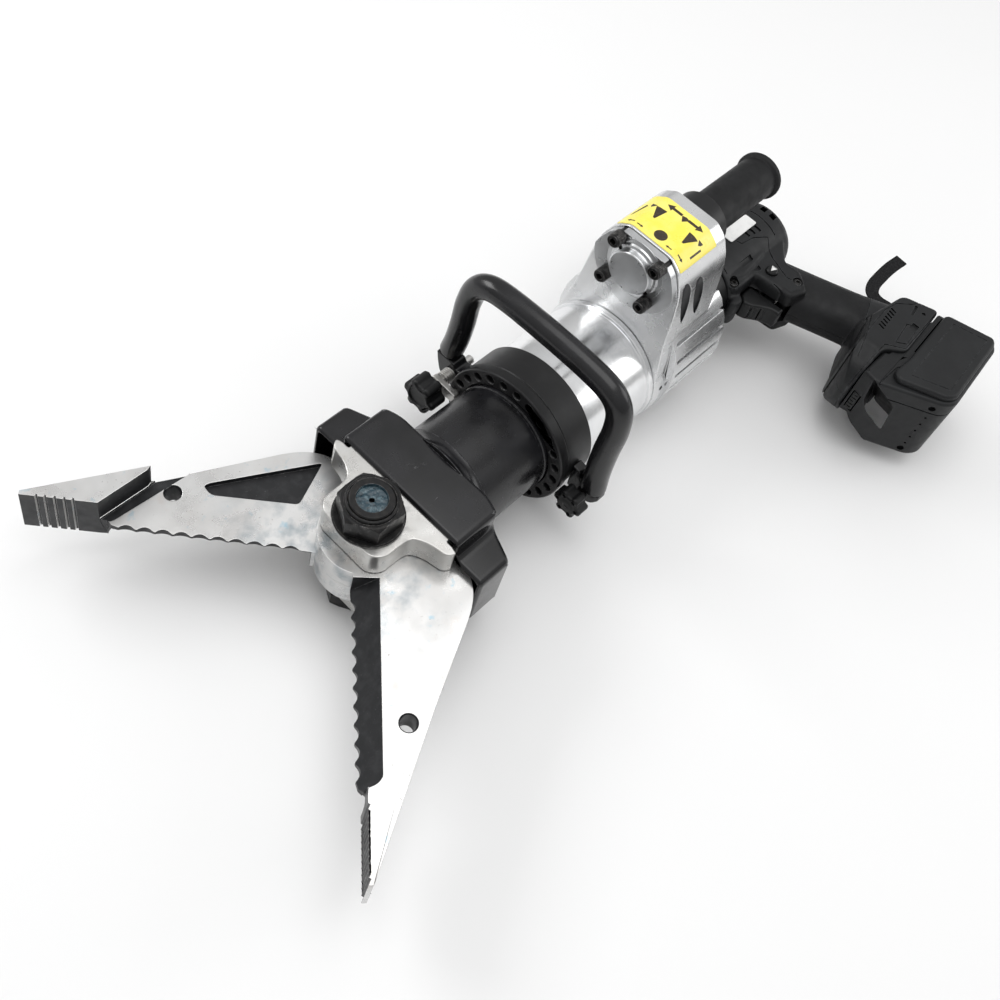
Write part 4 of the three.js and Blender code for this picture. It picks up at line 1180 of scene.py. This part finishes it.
def fin_grooves():
    """The slots between the cooling fins, on one side."""
    section = rounded([(-1.1, 6, 1), (1.1, 6, 1), (1.7, -7, 0), (-1.7, -7, 0)], 1)
    grooves = []
    for i, (tip, after) in enumerate(zip(FIN_TIPS, FIN_TIPS[1:])):
        front = HOUSING_FRONT_X - 14 - (i % 2)
        groove = prism(section, HOUSING_REAR_X - 5, front, MILLED, "x")
        turned_by(groove, math.degrees(math.atan2(after[1] - tip[1], after[0] - tip[0])), "X")
        grooves.append(shifted(groove, y=(tip[0] + after[0]) / 2, z=(tip[1] + after[1]) / 2))
    return grooves


def housing():
    below = [(u, v, 0) for u, v in arc(0, 0, 48.3, 24, -86, 40)]
    front_outline = rounded(both_sides(LOBE_SIDE[:-1] + [(42.4, 32, 3)] + below), 0)
    body = prism(front_outline, HOUSING_FRONT_X - 12, HOUSING_FRONT_X, MILLED, "x", rim=0.7, low_rim=0)
    lobe_outline = rounded(both_sides(LOBE_SIDE[:-1] + [(36, 45, 0)]), 0)
    lobe = prism(lobe_outline, LOBE_REAR_X, HOUSING_FRONT_X - 5, MILLED, "x", rim=0, low_rim=1.4)
    rear_outline = rounded([(u, v, 0) for u, v in both_sides(FIN_TIPS)], 0)
    finned = prism(rear_outline, HOUSING_REAR_X, HOUSING_FRONT_X - 11, MILLED, "x")
    hollows = fin_grooves()
    hollows += [
        pointed_pocket((-236, 33.6, 118), (-246, 36.5, 66), 5.2),
        pointed_pocket((-252, 33.8, 106), (-262, 36.6, 64), 5.2)]
    hollows += [mirrored_y(copy(hollow)) for hollow in hollows]
    join(body, lobe, finned)
    cut(
        body, *hollows, rod(12.3, -300, -225, MILLED, centre=(0, VALVE_Z), steps=ROUND),
        rod(34, -310, -246, MILLED, steps=FINE), rod(1.6, 30, 60, OXIDE, "y", centre=(-239, 9), steps=24))
    cut(body, *[rod(3.3, -243, -230, OXIDE, centre=at, steps=24) for at in screw_places()])
    soften(body, 0.45, 2, 32)
    place(body, "finned_housing", "pump_housing")
    rear = turned([(6.6, -304), (41.5, -304), (43, -302.8), (43, -300.3), (6.6, -300.3), (6.6, -304)], MILLED)
    place(rear, "housing_back", "housing_rear_plate")


def pointed_pocket(top, bottom, width):
    """A leaf-shaped hollow milled into the lobe's side, pointed at its lower end."""
    top, bottom = Vector(top), Vector(bottom)
    axis = (bottom - top).normalized()
    across = axis.cross(Vector((0, 1, 0))).normalized()
    depth = Vector((0, 1, 0))
    sections = []
    for k in range(17):
        t = k / 16
        half = width * (math.sin(math.pi * min(1, 0.12 + 0.88 * t)) ** 0.7) * 0.9 + 0.12
        deep = 3.4 * math.sin(math.pi * (0.04 + 0.92 * t)) ** 0.6 + 0.05
        centre = top.lerp(bottom, t)
        sections.append([
            centre + across * half * math.cos(a) + depth * (deep * math.sin(a))
            for a in [2 * math.pi * j / 20 for j in range(20)]])
    return rings(sections, BLUED)


def cap_screws():
    """Socket-head screws that stand proud of the valve cover."""
    for i, (y, z) in enumerate(screw_places(), 1):
        side = [(0, -224.7), (4.6, -224.7), (4.8, -224.4), (4.8, -216.4), (4.3, -215.6), (0, -215.6)]
        head = turned(side, OXIDE, centre=(y, z), steps=48)
        join(head, rod(3, -241, -224, OXIDE, centre=(y, z)))
        socket = prism(hexagon(4.6), -219.2, -210, OXIDE, "x")
        knurls = []
        for k in range(28):
            cutter = rod(0.26, -223.6, -216.9, OXIDE, centre=(4.85, 0), steps=8)
            knurls.append(shifted(turned_by(cutter, 360 * k / 28, "X"), y=y, z=z))
        cut(head, shifted(socket, y=y, z=z), *knurls)
        place(head, f"cap_screw_{i}", f"valve_cover_screw_{i}")


def valve_group():
    rim = [(u - 1.0, v - 0.9, r) for u, v, r in LOBE_SIDE[:4]]
    outline = rounded(both_sides(rim + [(35.5, 60, 0)]), 0)
    cover = common(rod(
        33, -230.7, -225, PLATE, centre=(0, VALVE_Z), steps=FINE), prism(outline, -236, -215, PLATE, "x"))
    boss = turned([
        (0, -226), (22.4, -226), (22.4, -224.9), (18.9, -224.6), (18.4, -223.2), (16.5, -222.9),
        (16.2, -222.4), (15.9, -221.6), (15.9, -218.7), (15.2, -218), (0, -218)], PLATE, centre=(0, VALVE_Z))
    join(cover, boss)
    notch = [turned_by(block(-224.5, -221.5, 15.0, 19.4, -1.6, 1.6, OXIDE), a, "X") for a in (-35, 145)]
    through = [rod(3.3, -236, -215, OXIDE, centre=at, steps=24) for at in screw_places()]
    cut(cover, *[shifted(n, z=VALVE_Z) for n in notch], *through)
    soften(cover, 0.3, 2, 30)
    place(cover, "end_cover", "valve_cover")
    collar = turned([
        (GRIP_RADIUS + 0.3, -298.8), (19.2, -298.8), (20.5, -297.6), (20.5, -284.3), (19.9, -283.3),
        (GRIP_RADIUS + 0.3, -283.3), (GRIP_RADIUS + 0.3, -298.8)], SLEEVE_BLACK, centre=(0, VALVE_Z))
    place(collar, "grip_ring", "grip_collar")
    angles = [math.pi / 2 * k / 6 for k in range(7)]
    rim = [(16 + 1.4 * math.sin(a), GRIP_END_X + 1.7 - 1.7 * math.cos(a)) for a in angles]
    profile = [(0, GRIP_END_X + 0.8), (13.2, GRIP_END_X + 0.8), (14, GRIP_END_X), *rim]
    profile += [
        (17.4, GRIP_END_X + 3.6), (16.9, GRIP_END_X + 4.5), (GRIP_RADIUS + 0.5, GRIP_END_X + 5),
        (GRIP_RADIUS, GRIP_END_X + 6), (GRIP_RADIUS, LOBE_REAR_X - 1), (14, LOBE_REAR_X - 0.3),
        (7, LOBE_REAR_X - 0.3), (7, -345), (0, -345)]
    grip = turned(profile, GRIP, centre=(0, VALVE_Z))
    place(grip, "control_grip", "twist_grip", 40, body="twist_grip")


# ---- label -------------------------------------------------------------------------------
LABEL_FRONT_X = -233
LABEL_REAR_X = -272
LABEL_THICKNESS = 0.28
LABEL_HALF_LENGTH = 29.5
LABEL_COLUMNS = 118


def label_line():
    """The lobe's outline from one side over its top to the other, as far as the label goes."""
    outline = rounded(both_sides(LOBE_SIDE[:-1] + [(36, 45, 0)]), 0, 12)
    top = [Vector(p) for p in outline if p[1] > 104]
    top.sort(key=lambda p: p.x)
    return top


def point_on(line, distance):
    """The point and outward normal at a distance from the line's middle."""
    lengths = [0]
    for a, b in zip(line, line[1:]):
        lengths.append(lengths[-1] + (b - a).length)
    target = min(max(distance + lengths[-1] / 2, 0.001), lengths[-1] - 0.001)
    for i, (low, high) in enumerate(zip(lengths, lengths[1:])):
        if low <= target <= high and high > low:
            t = (target - low) / (high - low)
            heading = (line[i + 1] - line[i]).normalized()
            return line[i].lerp(line[i + 1], t), Vector((-heading.y, heading.x))
    raise ValueError(distance)


def mark(points, x=0, y=0, degrees=0, scale=1):
    c, s = scale * math.cos(math.radians(degrees)), scale * math.sin(math.radians(degrees))
    outline = [(x + u * c - v * s, y + u * s + v * c) for u, v in points]
    return prism(outline, LABEL_THICKNESS * 0.55, 3, INK)


WEDGE = [(-1, 0), (4.2, -3.4), (5.2, 0), (4.2, 3.4)]
ARROW = [(-4, -0.8), (1, -0.8), (1, -2.1), (4.2, 0), (1, 2.1), (1, 0.8), (-4, 0.8)]
SPIKE = [(0, -0.4), (6.5, -2.3), (6.5, 2.3), (0, 0.4)]


def label():
    """A thin printed foil, cut flat with its marks sunk in, and then bent over the lobe."""
    line = label_line()
    half = LABEL_HALF_LENGTH
    width = LABEL_FRONT_X - LABEL_REAR_X
    cross = rounded([(-half, 0), (half, 0), (half, width), (-half, width)], 1, 4)
    foil = prism(cross, 0, LABEL_THICKNESS, YELLOW)
    marks = [
        mark(SPIKE, -11.5, 16, 98, 1.75), mark(SPIKE, 14, 14, 84, 1.75),
        mark(circle(0, 0, 4.6, 40), 1.2, 7.6), mark(ARROW, -7, 33.5, 180, 1.5),
        mark(ARROW, 10.5, 33, 0, 1.5), mark(WEDGE, 2.2, 29.4, 90, 0.95), mark(WEDGE, -17.5, 27, 200, 0.7),
        mark(WEDGE, 19.5, 26.5, -20, 0.7), mark(ARROW, -20.5, 4.4, 180, 0.7), mark(ARROW, -13, 3.6, 0, 0.6),
        mark(ARROW, 11, 3.6, 180, 0.6), mark(ARROW, 21, 4.6, 0, 0.7),
        mark([(-8, 0), (7, -0.35), (8, 1.6), (-4, 1.4)], -24.5, 18, 78),
        mark([(-3.2, -0.4), (3.2, -0.4), (3.2, 0.4), (-3.2, 0.4)], 25, 18, 90, 1.8)]
    cut(foil, *marks)
    work = bmesh.new()
    work.from_mesh(foil.data)
    for i in range(1, LABEL_COLUMNS):
        x = lerp(-half, half, i / LABEL_COLUMNS)
        geometry = list(work.verts) + list(work.edges) + list(work.faces)
        bmesh.ops.bisect_plane(work, geom=geometry, plane_co=(x, 0, 0), plane_no=(1, 0, 0))
    for vertex in work.verts:
        at, normal = point_on(line, vertex.co.x)
        rise = 0.06 + vertex.co.z
        vertex.co = (LABEL_FRONT_X - vertex.co.y, at.x + normal.x * rise, at.y + normal.y * rise)
    outward(work)
    work.to_mesh(foil.data)
    work.free()
    place(foil, "direction_label", "control_label", 40)


housing()
cap_screws()
valve_group()
label()


# ---- drive unit --------------------------------------------------------------------------
SEAM = [(-446, 146), (-390, 150.2), (-379, 137.5), (-352.5, 138)]
THROAT = [
    (-349, 14), (-346.5, 24), (-350, 31), (-372, 31), (-375.7, 62), (-391, 67), (-404, 52), (-403, 38),
    (-420, 25), (-427, 14)]
CLAW = [(-356, 14), (-346, 18), (-345.6, 30.4), (-340.8, 32), (-343, 37.8), (-352, 38), (-357, 31)]
FOOT_TOP = [(-351, 132), (-357, 126), (-368, 120), (-398, 113), (-436, 119)]
FOOT_FRONT = [(-351, 9, 8), (-356, 22, 8), (-375, 34, 2), (-470, 34, 0)]
SHELL_SCREWS = [(-351.6, 25), (-393, 56)]
GRIP_STATIONS = [
    (10, 22, 16.5), (45, 22.2, 16.8), (62, 21.6, 17.2), (85, 21.4, 17.3), (105, 21.8, 17.2),
    (120, 23, 17.6), (131, 24, 18)]
THROAT_INSIDE = [
    (-357, 18), (-359, 27.5), (-376, 28), (-379.5, 59), (-390, 62), (-400, 50), (-399, 39), (-417, 24),
    (-421, 14)]
FOOT_INSIDE = [(-433, 122), (-441, 142.5), (-393, 146), (-384, 134), (-362, 134), (-366, 124), (-398, 116)]
SHOULDER = [(-352, 6), (-349, 24), (-362, 28), (-396, 24), (-402, 6)]
HEEL = [(-366, 128), (-371, 118), (-398, 108), (-432, 114), (-438, 128)]
SHELL_WALL = 3
LINE_WIDTH = 0.8
LINE_DEPTH = 0.9
HOLE_DEPTH = 1.6
SIDE_LINES = [
    [
        (-366, -12), (-369.6, -9.5), (-379, 8.1), (-392, 9.9), (-405.2, 15.8), (-396.4, 29.2),
        (-389.2, 47.3), (-390, 52)],
    [(-375.6, 45), (-375.6, 49.9), (-374.5, 60.6), (-378, 66)],
    [(-413.1, 136.3), (-417.8, 143.7), (-396.3, 146.4), (-390.8, 139.7), (-413.1, 136.3)],
    [(-446, 133), (-434, 129), (-424, 120), (-411, 117.6), (-366, 121.6), (-357, 124)],
    [(-442.2, 145.2), (-391.6, 148.0), (-382.6, 135.6), (-352, 135.4)]]


def ribbon(points, width):
    """The outline of a line of that width drawn through the points."""
    left, right = [], []
    for i, point in enumerate(points):
        here = Vector(point)
        heading = (Vector(points[min(i + 1, len(points) - 1)]) - Vector(points[max(i - 1, 0)])).normalized()
        across = Vector((-heading.y, heading.x)) * width / 2
        left.append(tuple(here + across))
        right.append(tuple(here - across))
    return left + right[::-1]


def closed_line(points, width):
    """The same for a line that ends where it starts, as one bar for each side."""
    return [ribbon([a, b], width) for a, b in zip(points, points[1:])]


def displaced(made, distance):
    return baked(copy(made), ("DISPLACE", {"strength": distance, "mid_level": 0.0}))


def skin(cutters, core):
    """What the shapes take away between a body's surface and the core inside it."""
    return cut(join(*cutters), core)


def grip_frame():
    """Turns the grip's own frame, with +Y down its axis, into the tool's."""
    return Matrix.Translation((*GRIP_TOP, 0)) @ Matrix.Rotation(math.radians(GRIP_TILT), 4, "Z")


def grip_ring_at(t, depth, thickness):
    """A section across the grip's axis: an oval that is a little squared."""
    place_of = grip_frame()
    out = []
    for cosine, sine in circle(0, 0, 1):
        u = depth * math.copysign(abs(cosine) ** GRIP_SQUARENESS, cosine)
        w = thickness * math.copysign(abs(sine) ** GRIP_SQUARENESS, sine)
        out.append(place_of @ Vector((u, t, w)))
    return out


def along_grip(point):
    return (grip_frame().inverted() @ point).y


def grip_shape(less, low, high):
    sections = []
    for i in range(31):
        t = lerp(low, high, i / 30)
        for (t0, d0, w0), (t1, d1, w1) in zip(GRIP_STATIONS, GRIP_STATIONS[1:]):
            if t0 <= t <= t1 + 0.01:
                part = (t - t0) / (t1 - t0)
                sections.append(grip_ring_at(t, lerp(d0, d1, part) - less, lerp(w0, w1, part) - less))
                break
    return rings(sections, PLASTIC)


def foot_front(less):
    """The foot's outline seen from below, drawn in by a wall's thickness."""
    half = [(x - less, z - less, r) for x, z, r in FOOT_FRONT]
    return half + [(x, -z, r) for x, z, r in half[::-1]]


def shell_body():
    """The outer form of both shells, with its shapes run into each other."""
    motor = turned([
        (0, MOTOR_REAR_X), (24, MOTOR_REAR_X), (29, MOTOR_REAR_X + 3), (MOTOR_RADIUS, MOTOR_REAR_X + 8),
        (MOTOR_RADIUS, NOSE_REAR_X - 0.3), (0, NOSE_REAR_X - 0.3)], PLASTIC)
    throat = prism(rounded(THROAT, 3), -21, 21, PLASTIC, rim=3.5)
    claw = prism(rounded(CLAW, 3), -12, 12, PLASTIC, rim=3)
    shoulder = prism(rounded(SHOULDER, 4), -24, 24, PLASTIC, rim=5)
    foot = prism(rounded(SEAM + FOOT_TOP, 5), -FOOT_HALF_WIDTH, FOOT_HALF_WIDTH, PLASTIC, rim=2)
    common(foot, prism(rounded(foot_front(0), 2), 90, 170, PLASTIC, "y"))
    heel = prism(rounded(HEEL, 6), -24, 24, PLASTIC, rim=7)
    body = melt(join(motor, throat, claw, shoulder, foot, heel, grip_shape(0, 10.5, 130.5)), 0.9, 5)
    body.data.materials.clear()
    body.data.materials.append(PLASTIC)
    return body


def side_lines():
    """The parting lines in the shells' sides, the joint round the grip and two rings on the motor."""
    lines = []
    for points in SIDE_LINES:
        parts = closed_line(points, LINE_WIDTH) if points[0] == points[-1] else [ribbon(points, LINE_WIDTH)]
        lines += [prism(part, -60, 60, TRIM) for part in parts]
    lines.append(moved(block(-60, 60, 113, 113.9, -60, 60, TRIM), grip_frame()))
    for x in (-413.4, -349.6):
        band = tube(45, 20, x, x + 0.9, TRIM, steps=72, chamfer=0)
        lines.append(common(band, block(-450, -300, -40, 18, -50, 50, TRIM)))
    return lines


def tilted_hole(half_length, half_width, degrees, x, y):
    hole = block(-half_length, half_length, -half_width, half_width, -60, 60, TRIM)
    return shifted(turned_by(hole, degrees, "Z"), x, y)


def side_holes():
    """The slots and small windows in both sides of the shells."""
    holes = [
        tilted_hole(0.85, 2.6, -14, lerp(-416, -395, i / 6), lerp(122.4, 124.6, i / 6)) for i in range(7)]
    holes += [tilted_hole(1.3, 3, 8, lerp(-389.6, -402, i / 2), 4.5 + i) for i in range(3)]
    return holes + [
        tilted_hole(5.6, 1.1, 11, -429.4, 132.8), tilted_hole(1.3, 1.3, 45, -432.4, 139.4),
        block(-418.4, -411.4, 138.8, 144.0, -60, 60, TRIM), block(-380, -366.5, 17.2, 21.6, -60, 60, TRIM),
        prism([(-381.4, 26.6), (-373.5, 27.4), (-374.4, 29.6), (-379.5, 30.6)], -60, 60, TRIM)]


def motor_vents():
    front, rear = MOTOR_REAR_X + 12, MOTOR_REAR_X + 6
    sides = ((15, 60), (-60, -15))
    vents = [block(rear, front, y, y + 5, *side, TRIM) for y in (-23, -14, -5, 4) for side in sides]
    return vents + [block(-440, -430, -14 + 6.4 * i, -11 + 6.4 * i, -9, 9, TRIM) for i in range(5)]


def shell_inside():
    """The space for the motor, the switch and the wires, and the mouths of the trigger and the button."""
    foot_space = common(
        prism(FOOT_INSIDE, -31, 31, PLASTIC),
        prism([p[:2] for p in foot_front(SHELL_WALL)], 90, 170, PLASTIC, "y"))
    motor_low, motor_high = MOTOR_REAR_X + SHELL_WALL, NOSE_REAR_X + 5
    return [
        rod(MOTOR_RADIUS - SHELL_WALL, motor_low, motor_high, PLASTIC, steps=ROUND),
        prism(THROAT_INSIDE, -18, 18, PLASTIC), grip_shape(3.2, 12, 120), foot_space,
        block(-394, -360, 30.5, 64, -9.2, 9.2, TRIM),
        rod(5, -60, 60, TRIM, "z", centre=BUTTON_PLACE, steps=40)]


def shells():
    body = shell_body()
    under_lines, under_holes = displaced(body, -LINE_DEPTH), displaced(body, -HOLE_DEPTH)
    cut(body, skin(side_lines(), under_lines), skin(side_holes(), under_holes))
    cut(body, *motor_vents(), *shell_inside())
    join(body, *[tube(5, 2.2, -19, 19, PLASTIC, "z", centre=at, steps=32, chamfer=0) for at in SHELL_SCREWS])
    for at in SHELL_SCREWS:
        hole, recess = rod(2.1, -18, 60, TRIM, "z", at, 24), rod(3.9, 18.2, 60, TRIM, "z", at, 32)
        cut(body, hole, recess)
    clean(body, 0.02, 1.5)
    paint(body, GRIP, lambda c, n: 47.5 < along_grip(c) < 112.8 and c.x < -372)
    for side, low, high in (("right", -100, 0.15), ("left", -0.15, 100)):
        half = cut(copy(body), block(-600, -200, -300, 300, low, high, PLASTIC))
        place(half, f"{side}_shell", f"shell_{side}", 50)
    remove(body)


def drive_nose():
    """The gearbox cover between the pump housing and the shells."""
    nose = turned([
        (8, -304.4), (25.2, -304.4), (26, -305.2), (27.6, -312), (28.4, -315), (27.8, -316), (29.2, -329),
        (29.8, -330), (29.8, NOSE_REAR_X + 0.6), (29.2, NOSE_REAR_X), (22, NOSE_REAR_X), (22, -311),
        (8, -309), (8, -304.4)], TRIM)
    soften(nose, 0.4, 2, 28)
    place(nose, "gear_cover", "drive_nose", 40)


def shell_screws():
    for i, (x, y) in enumerate(SHELL_SCREWS, 1):
        side = [(0, 18.4), (3.3, 18.4), (3.5, 18.8), (3.2, 20.2), (2.2, 20.7), (0, 20.7)]
        screw = turned(side, OXIDE, "z", centre=(x, y), steps=32)
        join(screw, rod(1.8, -9, 18.6, OXIDE, "z", centre=(x, y), steps=20))
        cut(screw, shifted(prism(star(6, 1.75, 1.3), 19.2, 30, OXIDE), x, y))
        place(screw, f"shell_screw_{i}_detailed", f"shell_screw_{i}")


def controls():
    """The trigger with its spring, the direction button, and the blank plate on the motor."""
    top = MOTOR_RADIUS + 1.1
    corners = [(-404.5, -8), (-371.5, -8), (-371.5, 3), (-404.5, 3)]
    plate = prism(rounded(corners, 1.6), top - 0.8, top, PALE, rim=0.25)
    place(plate, "blank_plate", "name_plate")
    face = [
        (-371.6, 31.7, 1), (-359, 31.8, 3), (-353.7, 37, 2), (-355.4, 43, 3), (-361.4, 50, 4),
        (-365.8, 56, 3), (-366.6, 62.3, 1), (-373.4, 62.3, 1)]
    trigger = prism(rounded(face, 2), -8.4, 8.4, TRIM, rim=2)
    join(trigger, block(-380, -371, 44, 52, -6, 6, TRIM))
    ridges = [(-356.6 - 2.2 * i, 44.6 + 2.8 * i) for i in range(4)]
    cut(trigger, *[rod(0.7, -5.5, 5.5, TRIM, "z", centre=at, steps=12) for at in ridges])
    soften(trigger, 0.25, 2, 40)
    place(trigger, "speed_trigger", "trigger", 45, body="trigger")
    coil = spring(-391.4, 10.4, 48, 3.8, 6, 20, 8)
    place(coil, "return_spring", "trigger_spring", 60)
    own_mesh(coil)
    button = rod(4.6, -23.9, 23.9, TRIM, "z", centre=BUTTON_PLACE, steps=48, chamfer=1.1)
    pointer = [(-387, 34.6), (-381.6, 37), (-387, 39.4)]
    cut(button, prism(pointer, 23.2, 30, PALE), prism(pointer, -30, -23.2, PALE))
    soften(button, 0.2, 2, 40)
    place(button, "shift_button", "direction_button", 45, body="direction_button")


# ---- battery and strap -------------------------------------------------------------------
FINGER_HOLE = [(147.5, 14, 2), (150, -9, 2), (155.5, -16, 2), (171, -20, 3), (168.5, 6, 3), (152, 10.5, 3)]
CASE_LOW_Z = -34
CASE_TOP_Z = 31
LID_TOP_Z = 36


def case_outline(less=0):
    top = [(x - 0.2, y + 0.6, 1) for x, y in SEAM]
    rest = [(-350.5, 150, 4), (-357, 163, 5), (-374, 195, 7), (-382, 200, 5), (-452, 194, 5), (-458, 189, 5)]
    return inset(rounded(top + rest, 3), less)


def case_lines():
    """The seam round the case and the line under the foot."""
    seam = block(-480, -330, 130, 210, 17.6, 18.5, TRIM)
    cut(seam, prism([(-400, 130), (-340, 130), (-340, 161), (-400, 161)], -60, 60, TRIM))
    line = ribbon([(-446, 158), (-386, 160.6), (-375, 153), (-352, 152)], 0.8)
    core = prism(case_outline(0.9), CASE_LOW_Z + 0.9, CASE_TOP_Z - 0.9, PLASTIC, rim=2, low_rim=3, steps=6)
    return cut(join(seam, prism(line, 20, 60, TRIM)), core)


def case_dots():
    """A row of five small hollows on the case's slanted face, with a screw recess above and below it."""
    across = Vector((17, -32, 0)).normalized()
    turn = Matrix.Rotation(math.atan2(17, 32), 4, "Z")
    middle_spot = Vector((-371, 189.3, 0))
    dots = [(rod(0.9, -2.4, 4, TRIM, steps=16), across * -0.5, 12 - 8 * i) for i in range(5)]
    dots += [(rod(2.5, -2.6, 5, TRIM, steps=32), across * 0, z) for z in (23, -27)]
    return [
        moved(dot, Matrix.Translation(middle_spot + step + Vector((0, 0, z))) @ turn) for dot, step,
        z in dots]


def battery_case():
    case = prism(case_outline(), CASE_LOW_Z, CASE_TOP_Z, PLASTIC, rim=2.6, low_rim=4, steps=6)
    steep = math.tan(math.radians(52))
    shear = Matrix(((1, 0, 0, -365), (0, 1, 0, 0), (steep, 0, 1, 0), (0, 0, 0, 1)))
    hole = moved(prism(rounded(FINGER_HOLE, 2), -60, 40, TRIM, "x"), shear)
    low_corner = hull([
        (-381, 145, -34), (-351.4, 145, -12), (-360, 168, -34), (-381, 145, -50), (-330, 145, -12),
        (-330, 168, -34), (-330, 145, -50), (-360, 168, -50), (-330, 168, -50), (-385, 130, -37),
        (-351.4, 130, -16), (-330, 130, -16), (-385, 130, -50), (-330, 130, -50)], PLASTIC)
    cavity = [(-443.5, 150.5), (-398, 153.5), (-396, 192), (-452.5, 188.5)]
    cut(
        case, hole, case_lines(), low_corner, prism(cavity, CASE_LOW_Z + 3, 60, TRIM),
        block(-363.4, -340, 140.5, 147.5, -9.3, 9.3, TRIM), *case_dots())
    soften(case, 0.35, 2, 35)
    place(case, "battery_shell", "battery_case", 40, body="battery")


def battery_lid():
    pad = [
        (-446, 151, 5), (-456, 188, 6), (-450, 192, 4), (-383, 197.5, 4), (-376, 193, 5), (-361, 160, 6),
        (-366, 153.5, 5), (-386, 155, 3)]
    top = inset(rounded(pad, 4), 0.2)
    lid = prism(top, CASE_TOP_Z + 0.3, LID_TOP_Z, PLASTIC, rim=2.6, low_rim=0.4, steps=6)
    panel = [(-441, 160), (-448, 185), (-384, 190.5), (-372, 164)]
    lines = join(*[prism(bar, 30, 60, TRIM) for bar in closed_line(panel + panel[:1], 0.5)])
    cut(lid, cut(lines, block(-470, -350, 140, 210, 30, LID_TOP_Z - 0.3, TRIM)))
    place(lid, "battery_top", "battery_lid", 40, body="battery")


def latch_button():
    face = rounded([(-359.6, 141.2), (-351.2, 141.2), (-350.9, 144), (-351.6, 146.8), (-359.6, 146.8)], 1.2)
    button = prism(face, -8.9, 8.9, TRIM, rim=0.8)
    cut(button, *[block(-351.8, -345, 140, 148, -6.4 + 3.2 * i, -5.4 + 3.2 * i, TRIM) for i in range(5)])
    soften(button, 0.2, 2, 40)
    place(button, "latch_button", "battery_release_button", 45, body="release_button")


def strap():
    """Woven tape that leaves the foot's rear edge, runs up beside the grip and turns to the rear."""
    known = [
        (-447, 131.6, 0), (-450.5, 123, 0), (-453.2, 114, 0.2), (-452, 104, 0.3), (-455, 96.4, 0.2),
        (-464, 92.2, -0.2), (-478, 91, -0.3), (-492, 91, 0), (-506.6, 92.4, 0.1)]
    path = spline(known, 12)
    section = rounded([(-5.3, -0.9), (5.3, -0.9), (5.3, 0.9), (-5.3, 0.9)], 0.7, 4)
    sections = []
    for i, point in enumerate(path):
        heading = (path[min(i + 1, len(path) - 1)] - path[max(i - 1, 0)]).normalized()
        side = heading.cross(Vector((0, 0, 1))).normalized()
        weave = 1 + 0.08 * math.sin(i * 2.4)
        sections.append([point + side * u + Vector((0, 0, v * weave)) for u, v in section])
    place(rings(sections, WEBBING), "wrist_loop", "wrist_strap", 60)


# ---- parts taken over from the CAD -------------------------------------------------------
CARRIED = {
    "link_right": STEEL, "link_left": STEEL, "link_pin_right": OXIDE, "link_pin_left": OXIDE,
    "crosshead": SATIN, "crosshead_pin": OXIDE, "piston_rod": TURNED, "piston": SATIN,
    "piston_seal": RUBBER, "cylinder_gland": SATIN, "valve_spool": SATIN, "pump_rotor": SATIN,
    "reservoir_bladder": RUBBER, "gear_carrier": SATIN, "motor_stator": COPPER, "motor_rotor": SATIN,
    "cooling_fan": TRIM, "battery_cells": COPPER}


def finish_carried():
    for name, material in CARRIED.items():
        mesh = bpy.data.objects[name].data
        mesh.materials.clear()
        mesh.materials.append(material)


shells()
drive_nose()
shell_screws()
controls()
battery_case()
battery_lid()
latch_button()
strap()
finish_carried()

bpy.context.view_layer.update()
